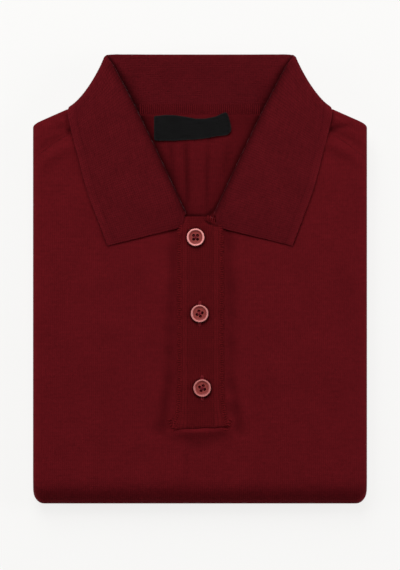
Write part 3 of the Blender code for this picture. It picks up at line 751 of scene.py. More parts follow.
# Painted shade: in the valleys beside the band, between the crosses, in the tuck, round and under each
# button.
# The band is a little darker all over.
placket_hollow = 0.06 * valley + 0.08 * in_band + 0.30 * np.exp(-(edge / 5.5) ** 4)
placket_hollow = placket_hollow + 0.8 * near_line(placket_x, placket_y, COLLAR_TUCK, 0.0010)
for node in ("button_top", "button_middle", "button_bottom"):
    low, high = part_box(node)
    away = np.hypot(placket_x - (low.x + high.x) / 2, placket_y - (low.y + high.y) / 2)
    placket_hollow += 0.70 * np.exp(-((away - 0.0078) / 0.0010) ** 2) + 1.1 * (away < 0.0062)
placket = cloth_wall("placket_rib", placket_outer, placket_inner, placket_flat,
                     rib=placket_rib, ribbed=ribbed, hollow=placket_hollow)
placket_yarn = (0.0850, 0.0046, 0.0064)
placket_knit = knit_material("rib_placket", placket_yarn, rib_pitch, 0.0017, gaps=0.60)
apply_tree(placket, raised_ribs, Pitch=rib_pitch, Rise=0.00020, Material=placket_knit)
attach(placket, "root")
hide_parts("placket")

# The under band shows as a sliver at the bottom of the neck, where it narrows.
under_y = steps_between((0.0516, 0.0016), (0.0470, 0.0014), (0.0440, 0.004), (-0.1176, 0.004))[:, None]
under_half = np.interp(-under_y, (-0.0516, -0.0470, -0.0440, 0.1176), (0.0056, 0.0070, 0.0110, 0.0110))
under_share = np.linspace(-1, 1, 4 * band_ribs + 1)
under_rib = (under_share + 1) * band_ribs / 2 * rib_pitch
under_outer = np.stack(np.broadcast_arrays(under_half * under_share, under_y, pack_height), axis=-1)
under_inner = under_outer - (0, 0, cloth)
under_flat = np.stack(np.broadcast_arrays(under_rib, under_y), axis=-1)
under_ribbed = (np.abs(under_share) < 0.96).astype(float)
under = cloth_wall("placket_under_rib", under_outer, under_inner, under_flat,
                   rib=under_rib, ribbed=under_ribbed, hollow=0.0)
under_knit = knit_material("rib_placket_under", placket_yarn, rib_pitch, 0.0017)
apply_tree(under, raised_ribs, Pitch=rib_pitch, Rise=0.00014, Material=under_knit)
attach(under, "root")
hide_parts("placket_under")

# ---------------------------------------------------------------- the collar
# The collar is one strip of dense knit, linked to the neck along its lower edge. The
# leaf is turned down over the front from a soft roll, and folded behind at the back,
# so that the stand shows there. Its courses run along it, as fine lines.

# Stations of the right half, from its front end to the centre back. Columns: roll x,
# y, z; leaf x, y, z; seam x, y, z; turn of the leaf in degrees; bow.
COLLAR_STATIONS = (
    (0.0112, 0.0550, 0.0224, 0.0774, 0.0280, 0.0222, 0.0140, 0.0500, 0.0210, 90, 0.0),
    (0.0170, 0.0670, 0.0242, 0.0838, 0.0450, 0.0221, 0.0270, 0.0633, 0.0213, 90, 0.0),
    (0.0334, 0.1020, 0.0246, 0.0950, 0.0755, 0.0220, 0.0550, 0.0911, 0.0213, 90, 0.0),
    (0.0500, 0.1365, 0.0246, 0.1030, 0.1060, 0.0221, 0.0760, 0.1143, 0.0213, 90, 0.0),
    (0.0640, 0.1635, 0.0244, 0.1080, 0.1250, 0.0225, 0.0860, 0.1292, 0.0213, 88, 0.001),
    (0.0728, 0.1797, 0.0240, 0.1103, 0.1360, 0.0230, 0.0868, 0.1340, 0.0212, 70, 0.0045),
    (0.0766, 0.1852, 0.0235, 0.1104, 0.1415, 0.0224, 0.0868, 0.1368, 0.0208, 35, 0.0070),
    (0.0773, 0.1870, 0.0230, 0.1082, 0.1440, 0.0200, 0.0862, 0.1390, 0.0202, 0, 0.0070),
    (0.0745, 0.1880, 0.0222, 0.1040, 0.1444, 0.0168, 0.0815, 0.1392, 0.0194, -60, 0.0045),
    (0.0600, 0.1883, 0.0214, 0.0840, 0.1460, 0.0143, 0.0650, 0.1386, 0.01915, -85, 0.0),
    (0.0350, 0.1882, 0.0211, 0.0450, 0.1470, 0.0132, 0.0370, 0.1384, 0.01915, -90, 0.0),
    (0.0000, 0.1881, 0.0211, 0.0000, 0.1475, 0.0129, 0.0000, 0.1383, 0.01915, -90, 0.0),
)
collar_cloth = 0.0018
roll_radius = 0.0014
line_pitch = 0.00178
station_spacing = 0.0030
linking_band = 0.0075
leaf_columns = 160
roll_columns = 12
stand_columns = 104
# Prints of the seams under the leaf. Columns: start x, y, end x, y, half width,
# height, bow. They are given for the right half and mirrored.
LEAF_CREASES = (
    (0.0560, 0.1060, 0.0860, 0.0830, 0.0016, 0.0003, 0.0),
    (0.0640, 0.1330, 0.0860, 0.0960, 0.0016, 0.0003, 0.0020),
    (0.0820, 0.1000, 0.1050, 0.0990, 0.0018, 0.0003, 0.0),
    (0.0280, 0.0800, 0.0420, 0.0420, 0.0090, -0.0003, 0.0),
    (0.0170, 0.0640, 0.0162, 0.0440, 0.0020, 0.0008, 0.0),
)


def smooth_rows(table, spacing):
    """Rows of a table with smooth rows put in between, about a spacing apart."""
    rows = [np.array(row, dtype=float) for row in table]
    rows = [2 * rows[0] - rows[1]] + rows + [2 * rows[-1] - rows[-2]]
    made = []
    for before, here, after, later in zip(rows, rows[1:], rows[2:], rows[3:]):
        chord = max(np.linalg.norm(after[0:3] - here[0:3]), np.linalg.norm(after[3:6] - here[3:6]))
        steps = max(2, round(chord / spacing))
        for t in np.arange(steps) / steps:
            made.append(0.5 * (2 * here + (after - before) * t
                               + (2 * before - 5 * here + 4 * after - later) * t ** 2
                               + (3 * here - before - 3 * after + later) * t ** 3))
    made.append(rows[-2])
    return made


def bezier(start, first, second, end, steps):
    """Points of a cubic curve, both ends included."""
    t = np.linspace(0, 1, steps + 1)[:, None]
    return ((1 - t) ** 3 * start + 3 * t * (1 - t) ** 2 * first
            + 3 * t ** 2 * (1 - t) * second + t ** 3 * end)


def unit(vector):
    """The vector, or each of an array of vectors, at a length of 1."""
    return vector / np.linalg.norm(vector, axis=-1, keepdims=True)


def collar_section(station):
    """Middle line of the collar's cloth from leaf edge to neck seam, and where the leaf ends."""
    roll, leaf, seam = station[0:3], station[3:6], station[6:9]
    turn = math.radians(station[9])
    inwards = unit(leaf - roll) + unit(seam - roll)
    inwards[2] = 0
    inwards = unit(inwards)
    outwards = np.array((-inwards[1], inwards[0], 0.0))
    to_leaf = math.cos(turn) * outwards + math.sin(turn) * np.array((0.0, 0.0, 1.0))
    centre = roll + inwards * (roll_radius + collar_cloth / 2)
    leaf_start = centre + roll_radius * to_leaf
    stand_start = centre - roll_radius * to_leaf
    reach = np.linalg.norm(leaf - leaf_start)
    drop = np.linalg.norm(seam - stand_start)
    leaf_line = bezier(leaf, leaf + (leaf_start - leaf) * 0.33 - station[10] * outwards,
                       leaf_start + inwards * reach * 0.04, leaf_start, 60)
    angle = np.linspace(0, math.pi, 13)[1:-1, None]
    arc = centre + roll_radius * (np.cos(angle) * to_leaf - np.sin(angle) * inwards)
    stand_line = bezier(stand_start, stand_start + inwards * drop * 0.25,
                        seam + (stand_start - seam) * 0.33, seam, 40)
    return np.concatenate([leaf_line, arc, stand_line]), len(leaf_line), len(arc)


stations = np.array(smooth_rows(COLLAR_STATIONS, station_spacing))
edge_way = unit(np.gradient(stations[:, 3:6], axis=0))
leaf_way = unit(stations[:, 0:3] - stations[:, 3:6])
squareness = np.linalg.norm(np.cross(edge_way, leaf_way), axis=1)
squareness = np.convolve(np.pad(squareness, 4, mode="edge"), np.full(9, 1 / 9), "valid")
right_half = []
for number, station in enumerate(stations):
    line, leaf_count, arc_count = collar_section(station)
    run = np.concatenate([[0], np.cumsum(np.linalg.norm(np.diff(line, axis=0), axis=1))])
    leaf_run = run[leaf_count - 1]
    roll_run = run[leaf_count + arc_count]
    # The front end sags below the straight line from the tip to the neck.
    sag = np.interp(run / leaf_run, (0, 0.965, 0.985, 1), (0, 1.0, 0.70, 0)) * math.exp(-number / 4)
    line[:, 1] -= 0.0086 * sag
    line[:, 2] -= 0.0012 * sag ** 4
    places = np.concatenate([np.linspace(0, leaf_run, leaf_columns + 1)[:-1],
                             np.linspace(leaf_run, roll_run, roll_columns + 1)[:-1],
                             np.linspace(roll_run, run[-1], stand_columns + 1)])
    right_half.append([np.interp(places, run, values) for values in (*line.T, run * squareness[number])])
right_half = np.moveaxis(np.array(right_half), 1, 2)
whole_collar = np.concatenate([right_half[:-1] * (-1, 1, 1, 1), right_half[::-1]])
middle, collar_over = whole_collar[..., :3], whole_collar[..., 3]
leaf_over = collar_over[:, leaf_columns, None]
seam_over = collar_over[:, -1:]
along = np.concatenate([[0], np.cumsum(np.linalg.norm(np.diff(middle[:, 40], axis=0), axis=1))])[:, None]
normal = unit(np.cross(unit(np.gradient(middle, axis=0)), unit(np.gradient(middle, axis=1))))
if normal[len(normal) // 2, -30, 2] < 0:
    normal = -normal
rim = np.sqrt(1 - np.clip(1 - (collar_over + 0.0002) / 0.0012, 0, 1) ** 2)
from_end = np.minimum(np.arange(len(middle)), np.arange(len(middle))[::-1])[:, None]
rim = rim * np.array([0.55, 0.95, 1.0])[np.minimum(from_end, 2)]
past_leaf = collar_over - leaf_over
linked_end = np.exp(-((past_leaf + 0.0020) / 0.0035) ** 4)
linked_end = linked_end * np.array([0.8, 0.6, 0.3, 0])[np.minimum(from_end, 3)]
rim = rim * (1 - linked_end)
on_leaf = np.clip(-past_leaf / 0.006, 0, 1)
leaf_x = np.abs(middle[..., 0])
leaf_relief = creases(leaf_x, middle[..., 1], LEAF_CREASES) * on_leaf * (normal[..., 2] > 0.5)
leaf_relief = leaf_relief + slow_waves(middle[..., 0], middle[..., 1], 0.00012, 21) * on_leaf
edge_curl = 0.0003 * np.exp(-(collar_over / 0.004) ** 2)
middle = middle + normal * (leaf_relief + edge_curl)[..., None]
collar_outer = middle + normal * (collar_cloth / 2 * rim)[..., None]
collar_inner = middle - normal * (collar_cloth / 2 * rim)[..., None]

# Painted shade darkens the roll of the collar and the cloth under it, and the roll along the top at the back.
collar_y = middle[..., 1]
on_stand = past_leaf > 0.004
under_roll = np.clip(past_leaf / 0.0040, 0, 1) * neck_shade(middle[..., 0], collar_y)
under_roll = under_roll * np.clip((collar_y - 0.0520) / 0.003, 0, 1)
on_roll = np.exp(-(np.minimum(past_leaf - 0.0020, 0) / 0.0036) ** 2) * (past_leaf < 0.0040)
on_roll = on_roll * np.clip((0.1840 - collar_y) / 0.006, 0, 1) * np.clip((collar_y - 0.0540) / 0.004, 0, 1)
over_back = np.exp(-((past_leaf - 0.0022) / 0.0018) ** 2) * np.clip((collar_y - 0.1840) / 0.002, 0, 1)
# A painted highlight lightens the edges of the strip, which are knitted tighter, and a darker line runs
# inside them.
selvedge_highlight = np.exp(-(collar_over / 0.0018) ** 2)
edge_band = np.clip((0.0064 - collar_over) / 0.0010, 0, 1)
second_line = np.exp(-((collar_over - 0.0068) / 0.0010) ** 2)
over_link = seam_over - linking_band - collar_over
in_link = np.exp(-(over_link / 0.0006) ** 2)
# The stand and the linking seam are a little darker too.
collar_hollow = 0.15 * in_link + 0.10 * on_stand + 0.3 * over_back + 0.9 * under_roll + 0.62 * on_roll
collar_hollow = collar_hollow - 0.24 * selvedge_highlight - 0.08 * edge_band + 0.10 * second_line
off_edge = np.clip((collar_over - 0.0006) / 0.0008, 0, 1)
lined = (1 + 0.6 * on_stand) * off_edge * np.clip(over_link / 0.001, 0, 1)
collar_flat = np.stack(np.broadcast_arrays(along, collar_over), axis=-1)
collar = cloth_wall("collar_rib", collar_outer, collar_inner, collar_flat,
                    rib=collar_over, ribbed=lined, hollow=collar_hollow)
collar_yarn = (0.0790, 0.0046, 0.0070)
collar_knit = knit_material("rib_collar", collar_yarn, 0.0018, line_pitch, mottle=0.60, gaps=0.45)
apply_tree(collar, raised_ribs, Pitch=line_pitch, Rise=0.00008, Material=collar_knit)
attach(collar, "root")
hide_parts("collar")

# ----------------------------------------------------------------- the label
# A woven satin label, bare, folded in at its ends and sewn by them to the back of
# the neck, where it lies in soft waves.

# Columns: x, upper edge y, lower edge y.
LABEL_ROWS = (
    (-0.0385, 0.1355, 0.1175), (-0.0379, 0.1367, 0.1164), (-0.0348, 0.1370, 0.1161),
    (-0.0289, 0.1376, 0.1161), (-0.0205, 0.1374, 0.1162), (-0.0122, 0.1361, 0.1167),
    (-0.0038, 0.1345, 0.1171), (0.0046, 0.1345, 0.1180), (0.0130, 0.1362, 0.1197),
    (0.0189, 0.1391, 0.1204), (0.0226, 0.1401, 0.1207), (0.0243, 0.1355, 0.1220), (0.0260, 0.1280, 0.1243),
)
label_height = 0.021
label_table = np.array(LABEL_ROWS)
label_base = pack_height - inside_depth + 0.0007
label_cloth = 0.0006


def satin_material(name):
    """Dense dark satin: fine weft lines across the label, and a slightly paler edge."""
    made, tree, shader = new_material(name)
    place = add_node(tree, "ShaderNodeUVMap", uv_map="cloth").outputs[0]
    flat = add_node(tree, "ShaderNodeSeparateXYZ", {0: place}).outputs
    weft = calculate(tree, "SINE", calculate(tree, "MULTIPLY", flat["Y"], 2 * math.pi / 0.0004))
    noise = soft_noise(tree, stretched(tree, place, (90, 900, 1)), 1.0, 2.0)[0]
    edge = add_node(tree, "ShaderNodeAttribute", attribute_name="edge")
    tone = calculate(tree, "ADD", calculate(tree, "MULTIPLY", noise, 0.5), edge.outputs["Fac"])
    colour = colour_ramp(tree, tone, ((0.1, (0.0022, 0.0020, 0.0021)), (1.2 / 1.4, (0.012, 0.012, 0.0125))))
    raised = add_node(tree, "ShaderNodeBump", {"Height": weft, "Distance": 0.00004, "Strength": 0.6})
    tree.links.new(colour, shader.inputs["Base Color"])
    tree.links.new(raised.outputs[0], shader.inputs["Normal"])
    shader.inputs["Roughness"].default_value = 0.6
    shader.inputs["Specular IOR Level"].default_value = 0.05
    return made


label_x = np.linspace(label_table[0, 0], label_table[-1, 0], 91)[:, None]
upper = np.interp(label_x, label_table[:, 0], label_table[:, 1])
lower = np.interp(label_x, label_table[:, 0], label_table[:, 2])
softening = np.array([1, 2, 3, 2, 1]) / 9
upper[2:-2, 0] = np.convolve(upper[:, 0], softening, "valid")
lower[2:-2, 0] = np.convolve(lower[:, 0], softening, "valid")
label_share = np.linspace(0, 1, 23)[None, :]
label_y = lower + (upper - lower) * label_share
from_left = label_x - label_x[0]
from_end = np.minimum(from_left, label_x[-1] - label_x)
wave = 0.0003 * np.sin(from_left * 150) + 0.0002 * np.sin(from_left * 410 + label_share * 1.5)
label_z = label_base + wave + 0.0004 * np.exp(-(from_end / 0.0022) ** 4)
label_outer = np.stack(np.broadcast_arrays(label_x, label_y, label_z + label_cloth), axis=-1)
label_inner = label_outer - (0, 0, label_cloth)
label_flat = np.stack(np.broadcast_arrays(from_left, label_share * label_height), axis=-1)
near_edge = np.minimum(from_end, np.minimum(label_share, 1 - label_share) * label_height)
label_edge = 0.5 * np.exp(-(near_edge / 0.0006) ** 2)
label = cloth_wall("label_satin", label_outer, label_inner, label_flat, edge=label_edge)
label.data.materials.append(satin_material("label_satin"))
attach(label, "root")
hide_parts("label")

# --------------------------------------------------------------- the buttons
# Three turned resin buttons with a raised rim, painted pale as a highlight, and four holes,
# sewn to the under band with a crossed maroon thread. They stay fastened.

# Columns: CAD node, turn of the holes in degrees, strength of the highlight painted on the rim.
BUTTONS = (("button_top", 0.0, 1.0), ("button_middle", -28.0, 0.62), ("button_bottom", 22.0, 0.42))
# Turned profile. Columns: radius, height.
BUTTON_PROFILE = (
    (0.0, 0.0), (0.0060, 0.0), (0.0066, 0.00012), (0.0070, 0.0004), (0.00724, 0.0007), (0.00734, 0.0010),
    (0.00738, 0.0014), (0.00735, 0.0018), (0.00724, 0.00215), (0.0070, 0.00235), (0.0067, 0.0024),
    (0.0064, 0.00236), (0.0061, 0.0022), (0.0058, 0.0019), (0.0055, 0.00162), (0.0051, 0.00145),
    (0.0045, 0.0014), (0.0, 0.0014),
)
button_sides = 72
hole_offset = 0.00225
hole_radius = 0.00125
thread_radius = 0.00018


def resin_material(name, centre, rim_highlight):
    """Cloudy red resin with a painted highlight on the rim and painted shade beside it. centre is the
    button's middle.
    """
    made, tree, shader = new_material(name)
    place = add_node(tree, "ShaderNodeTexCoord").outputs["Object"]
    moved = add_node(tree, "ShaderNodeMapping", {"Vector": place, "Location": (-centre[0], -centre[1], 0)})
    flat = stretched(tree, moved.outputs[0], (1, 1, 0))
    radius = add_node(tree, "ShaderNodeVectorMath", {0: flat}, operation="LENGTH")
    share = calculate(tree, "DIVIDE", radius.outputs["Value"], 0.0080)
    cloud = calculate(tree, "SUBTRACT", soft_noise(tree, moved.outputs[0], 420.0, 3.0)[0], 0.5)
    share = calculate(tree, "MULTIPLY_ADD", cloud, 0.05, share)
    # The rim is painted pale as a highlight, and the rings either side of it darker as shade.
    plate = np.array((0.232, 0.036, 0.032))
    rim = plate + rim_highlight * (np.array((0.78, 0.300, 0.285)) - plate)
    colour = colour_ramp(tree, share, ((0.0, plate * 0.95), (0.55, plate), (0.64, plate * 0.8),
                                       (0.72, plate * 1.15), (0.78, rim), (0.89, rim), (0.93, plate * 0.8)))
    tree.links.new(colour, shader.inputs["Base Color"])
    shader.inputs["Roughness"].default_value = 0.42
    shader.inputs["Specular IOR Level"].default_value = 0.22
    return made


def thread_material(name, colour):
    """Twisted sewing thread or yarn."""
    made, tree, shader = new_material(name)
    place = add_node(tree, "ShaderNodeTexCoord").outputs["Object"]
    noise = soft_noise(tree, place, 1500.0, 2.0)[0]
    dark = [value * 0.6 for value in colour]
    pale = [value * 1.25 for value in colour]
    raised = add_node(tree, "ShaderNodeBump", {"Height": noise, "Distance": 0.0001, "Strength": 0.5})
    tree.links.new(colour_ramp(tree, noise, ((0.25, dark), (0.7, pale))), shader.inputs["Base Color"])
    tree.links.new(raised.outputs[0], shader.inputs["Normal"])
    shader.inputs["Roughness"].default_value = 0.8
    shader.inputs["Specular IOR Level"].default_value = 0.03
    return made


def turned(profile, sides):
    """Points and faces of a profile turned round +Z."""
    rings = profile[1:-1]
    angle = 2 * math.pi * np.arange(sides) / sides
    points = [(0.0, 0.0, profile[0][1])]
    for radius, height in rings:
        points += [(radius * math.cos(a), radius * math.sin(a), height) for a in angle]
    points.append((0.0, 0.0, profile[-1][1]))
    faces = []
    for k in range(sides):
        after = (k + 1) % sides
        faces.append([0, 1 + after, 1 + k])
        for low in range(1, 1 + (len(rings) - 1) * sides, sides):
            faces.append([low + k, low + after, low + sides + after, low + sides + k])
        top = 1 + (len(rings) - 1) * sides
        faces.append([top + k, top + after, len(points) - 1])
    return points, faces


def bored_button(name, centre, base, angles):
    """The turned button, bored through at four angles and set on the band."""
    points, faces = turned(BUTTON_PROFILE, button_sides)
    mesh = bpy.data.meshes.new(name)
    mesh.from_pydata(points, [], faces)
    button = in_scene(name, mesh)
    drills = []
    for angle in angles:
        place = (hole_offset * math.cos(angle), hole_offset * math.sin(angle), 0)
        bpy.ops.mesh.primitive_cylinder_add(vertices=20, radius=hole_radius, depth=0.01, location=place)
        drills.append(bpy.context.object)
        cut = button.modifiers.new("hole", "BOOLEAN")
        cut.operation = "DIFFERENCE"
        cut.object = drills[-1]
    bored = final_mesh(button)
    button.modifiers.clear()
    for drill in drills:
        bpy.data.objects.remove(drill)
    for vertex in bored.vertices:
        vertex.co = (vertex.co.x + centre[0], vertex.co.y + centre[1], vertex.co.z + base)
    bored.shade_smooth()
    bored.set_sharp_from_angle(angle=math.radians(40))
    bored.materials.clear()
    button.data = bored
    return button


def crossed_thread(name, centre, base, angles):
    """Two runs of thread each way across a button, from hole to hole."""
    thread = bpy.data.curves.new(name, "CURVE")
    thread.dimensions = "3D"
    thread.bevel_depth = thread_radius
    thread.bevel_resolution = 2
    for start, end, lift in ((angles[0], angles[2], 0.0), (angles[1], angles[3], 0.0003)):
        for side in (-1, 1):
            run = thread.splines.new("POLY")
            run.points.add(8)
            for k, point in enumerate(run.points):
                share = k / 8
                bow = side * 0.00026 * math.sin(math.pi * share)
                aside = side * 0.0001
                x = hole_offset * ((1 - share) * math.cos(start) + share * math.cos(end))
                y = hole_offset * ((1 - share) * math.sin(start) + share * math.sin(end))
                x += bow * math.sin(start) + aside * math.cos(start + 1.57)
                y -= bow * math.cos(start) - aside * math.sin(start + 1.57)
                z = 0.0006 + (0.0012 + lift) * math.sin(math.pi * share) ** 0.35
                point.co = (centre[0] + x, centre[1] + y, base + z, 1)
    cross = in_scene(name, thread)
    sewn = final_mesh(cross)
    bpy.data.objects.remove(cross)
    sewn.materials.clear()
    return in_scene(name, sewn)


button_thread = thread_material("button_thread", (0.17, 0.012, 0.022))
for node, turn, rim_highlight in BUTTONS:
    low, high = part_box(node)
    centre = ((low.x + high.x) / 2, (low.y + high.y) / 2)
    angles = math.radians(turn) + math.pi / 4 + np.arange(4) * math.pi / 2
    button = bored_button(node + "_resin", centre, low.z, angles)
    button.data.materials.append(resin_material(node + "_resin", centre, rim_highlight))
    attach(button, "root")
    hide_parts(node)
    stitched = crossed_thread(node + "_thread", centre, low.z, angles)
    stitched.data.materials.append(button_thread)
    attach(stitched, "root")

# --------------------------------------------------------------- the stitches
# Linking and sewing stitches are small arcs of dark red yarn: crosses down the placket's
# strips, upright ticks along the neck, a few at the collar's right end, and the sewn
# rims of the buttonholes.


def build_stitches():
    """Geometry nodes that lay stitches along a path. The mark up is the way out of the cloth."""
    tree = bpy.data.node_groups.new("sewn_stitches", "GeometryNodeTree")
    face = tree.interface
    face.new_socket("Geometry", in_out="INPUT", socket_type="NodeSocketGeometry")
    for name, start in (("Spacing", 0.002), ("Length", 0.002), ("Thickness", 0.0003),
                        ("Bulge", 0.0004), ("Lean", 0.0), ("Wander", 0.1)):
        face.new_socket(name, in_out="INPUT", socket_type="NodeSocketFloat").default_value = start
    face.new_socket("Seed", in_out="INPUT", socket_type="NodeSocketInt")
    face.new_socket("Material", in_out="INPUT", socket_type="NodeSocketMaterial")
    face.new_socket("Geometry", in_out="OUTPUT", socket_type="NodeSocketGeometry")
    given = add_node(tree, "NodeGroupInput").outputs
    path = add_node(tree, "GeometryNodeMeshToCurve", {"Mesh": given["Geometry"]})
    places = add_node(tree, "GeometryNodeResampleCurve",
                      {"Curve": path.outputs[0], "Length": given["Spacing"]}, mode="LENGTH")
    half = calculate(tree, "MULTIPLY", given["Length"], 0.5)
    back_half = calculate(tree, "MULTIPLY", given["Length"], -0.5)
    start = add_node(tree, "ShaderNodeCombineXYZ", {0: back_half})
    top = add_node(tree, "ShaderNodeCombineXYZ", {2: calculate(tree, "MULTIPLY", given["Bulge"], 2.0)})
    end = add_node(tree, "ShaderNodeCombineXYZ", {0: half})
    arc = add_node(tree, "GeometryNodeCurveQuadraticBezier",
                   {"Resolution": 5, "Start": start.outputs[0], "Middle": top.outputs[0],
                    "End": end.outputs[0]})
    ring = add_node(tree, "GeometryNodeCurvePrimitiveCircle",
                    {"Resolution": 6, "Radius": given["Thickness"]})
    yarn = add_node(tree, "GeometryNodeCurveToMesh",
                    {"Curve": arc.outputs[0], "Profile Curve": ring.outputs[0], "Fill Caps": True})
    up = add_node(tree, "GeometryNodeInputNamedAttribute", {"Name": "up"}, data_type="FLOAT_VECTOR")
    tangent = add_node(tree, "GeometryNodeInputTangent")
    facing = add_node(tree, "FunctionNodeAxesToRotation",
                      {"Primary Axis": up.outputs[0], "Secondary Axis": tangent.outputs[0]},
                      primary_axis="Z", secondary_axis="X")
    low = calculate(tree, "SUBTRACT", given["Lean"], given["Wander"])
    high = calculate(tree, "ADD", given["Lean"], given["Wander"])
    lean = add_node(tree, "FunctionNodeRandomValue", {2: low, 3: high, "Seed": given["Seed"]},
                    data_type="FLOAT")
    turn = add_node(tree, "FunctionNodeAxisAngleToRotation", {"Axis": (0, 0, 1), "Angle": lean.outputs[1]})
    facing = add_node(tree, "FunctionNodeRotateRotation",
                      {"Rotation": facing.outputs[0], "Rotate By": turn.outputs[0]}, rotation_space="LOCAL")
    laid = add_node(tree, "GeometryNodeInstanceOnPoints",
                    {"Points": places.outputs[0], "Instance": yarn.outputs[0], "Rotation": facing.outputs[0]})
    real = add_node(tree, "GeometryNodeRealizeInstances", {"Geometry": laid.outputs[0]})
    smooth = add_node(tree, "GeometryNodeSetShadeSmooth", {0: real.outputs[0]})
    painted = add_node(tree, "GeometryNodeSetMaterial",
                       {"Geometry": smooth.outputs[0], "Material": given["Material"]})
    add_node(tree, "NodeGroupOutput", {"Geometry": painted.outputs[0]})
    return tree


sewn_stitches = build_stitches()


def stitch_line(name, paths, closed=False, **values):
    """One piece with stitches along several paths of points on the cloth."""
    points = np.concatenate(paths)
    edges = []
    first = 0
    for path in paths:
        edges += [(first + k, first + k + 1) for k in range(len(path) - 1)]
        if closed:
            edges.append((first + len(path) - 1, first))
        first += len(path)
    mesh = bpy.data.meshes.new(name)
    mesh.from_pydata(points.tolist(), edges, [])
    up = mesh.attributes.new("up", "FLOAT_VECTOR", "POINT")
    up.data.foreach_set("vector", np.tile((0.0, 0.0, 1.0), len(points)).astype(np.float32))
    return apply_tree(in_scene(name, mesh), sewn_stitches, **values)


def lay_on(piece, surfaces):
    """Lifts each point of a piece by the height of the highest surface under it."""
    depsgraph = bpy.context.evaluated_depsgraph_get()
    trees = [BVHTree.FromObject(surface, depsgraph) for surface in surfaces]
    for vertex in piece.data.vertices:
        hits = [tree.ray_cast((vertex.co.x, vertex.co.y, 0.1), (0, 0, -1))[0] for tree in trees]
        vertex.co.z += max([hit.z for hit in hits if hit is not None], default=pack_height)


linking_yarn = thread_material("linking_yarn", (0.102, 0.0050, 0.0076))
cross_yarn = thread_material("cross_yarn", (0.116, 0.0056, 0.0080))
# The crosses run down the middle of each strip and out to the corners of the slit.
linked_rows = placket_y[:, 0] < 0.0450
cross_paths = [placket_outer[linked_rows, column] * (1, 1, 0) for column in (3, -4)]
for side in (-1, 1):
    corner_path = np.array([(0.0252, -0.1176, 0.0), (0.0238, -0.1220, 0.0), (0.0216, -0.1258, 0.0)])
    cross_paths.append(corner_path * (side, 1, 1))
crosses = []
for number, lean in enumerate((1.27, -1.27)):
    crosses.append(stitch_line(f"placket_crosses_{number}", cross_paths, Spacing=0.00188, Length=0.0046,
                               Thickness=0.00032, Bulge=0.0002, Lean=lean, Wander=0.12, Seed=number,
                               Material=cross_yarn))
    lay_on(crosses[-1], (placket, front))
neck_x = np.linspace(-0.0500, 0.0500, 60)
neck_path = np.stack([neck_x, np.full(60, 0.1424), np.zeros(60)], axis=1)
neck_ticks = stitch_line("neck_linking", [neck_path], Spacing=0.0017, Length=0.0084, Thickness=0.00043,
                         Bulge=0.0003, Lean=math.pi / 2, Wander=0.05, Seed=4, Material=linking_yarn)
lay_on(neck_ticks, (collar, back))
end_path = np.array([(0.0068, 0.0512, 0.0), (0.0094, 0.0506, 0.0), (0.0122, 0.0492, 0.0)])
end_links = stitch_line("collar_end_links", [end_path], Spacing=0.0016, Length=0.0044, Thickness=0.00040,
                        Bulge=0.0007, Lean=1.8, Wander=0.2, Seed=6, Material=cross_yarn)
lay_on(end_links, (collar, placket))
hole_paths = []
for node in ("button_middle", "button_bottom"):
    low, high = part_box(node)
    centre_x, centre_y = (low.x + high.x) / 2, (low.y + high.y) / 2
    angle = np.linspace(0, 2 * math.pi, 40, endpoint=False)
    hole_paths.append(np.stack([centre_x + 0.0010 * np.cos(angle), centre_y + 0.0104 * np.sin(angle),
                                np.full(40, placket_base + band_cloth + 0.0001)], axis=1))
rim_yarn = thread_material("buttonhole_thread", (0.20, 0.016, 0.022))
holes = stitch_line("buttonhole_rims", hole_paths, closed=True, Spacing=0.0006, Length=0.0013,
                    Thickness=0.00022, Bulge=0.0003, Lean=math.pi / 2, Wander=0.1, Seed=9, Material=rim_yarn)
for piece, slot in ((crosses[0], "placket_rib"), (crosses[1], "placket_rib"), (neck_ticks, "collar_rib"),
                    (end_links, "collar_rib"), (holes, "placket_rib")):
    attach(piece, "root")

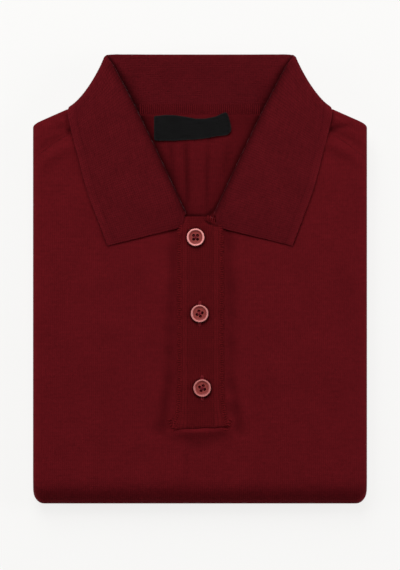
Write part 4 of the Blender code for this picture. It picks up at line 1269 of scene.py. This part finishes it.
# ----------------------------------------------------- table, light and camera
# The garment lies on a white table under large soft lamps, seen from straight above.

floor_mesh = bpy.data.meshes.new("table")
floor_mesh.from_pydata([(-3, -3, 0), (3, -3, 0), (3, 3, 0), (-3, 3, 0)], [], [(0, 1, 2, 3)])
floor = in_scene("table", floor_mesh)
paper, tree, shader = new_material("white_paper")
grain = add_node(tree, "ShaderNodeTexNoise", {"Scale": 40.0}).outputs[0]
tone = colour_ramp(tree, grain, ((0.0, (0.100, 0.099, 0.097)), (1.0, (0.106, 0.105, 0.103))))
tree.links.new(tone, shader.inputs["Base Color"])
shader.inputs["Roughness"].default_value = 0.9
shader.inputs["Emission Color"].default_value = (1, 0.995, 0.985, 1)
shader.inputs["Emission Strength"].default_value = 0.825
floor.data.materials.append(paper)


def add_lamp(name, place, target, size, power):
    """A square soft lamp that looks at a point."""
    data = bpy.data.lights.new(name, "AREA")
    data.shape = "SQUARE"
    data.size = size
    data.energy = power
    lamp = in_scene(name, data)
    lamp.location = place
    way = mathutils.Vector(target) - mathutils.Vector(place)
    lamp.rotation_euler = way.to_track_quat("-Z", "Y").to_euler()


add_lamp("key_lamp", (-0.45, 1.75, 1.62), (0, 0, 0), 1.8, 64)
add_lamp("left_lamp", (-1.9, 0.1, 0.7), (0, 0, 0), 1.0, 15)
add_lamp("right_lamp", (1.9, 0.2, 0.7), (0, 0, 0), 1.0, 24)
add_lamp("top_lamp", (0.0, 1.5, 3.2), (0, 0, 0), 1.4, 10)
world = bpy.data.worlds.new("studio")
bpy.context.scene.world = world
world.use_nodes = True
world.node_tree.nodes["Background"].inputs["Color"].default_value = (1, 1, 1, 1)
world.node_tree.nodes["Background"].inputs["Strength"].default_value = 0.04

camera_data = bpy.data.cameras.new("camera")
camera_data.lens = 226
camera_data.sensor_width = 36
camera_data.clip_end = 20
camera = in_scene("camera", camera_data)
camera.location = (0, -0.00478, 3.0165)
bpy.context.scene.camera = camera
bpy.context.scene.view_settings.view_transform = "Standard"
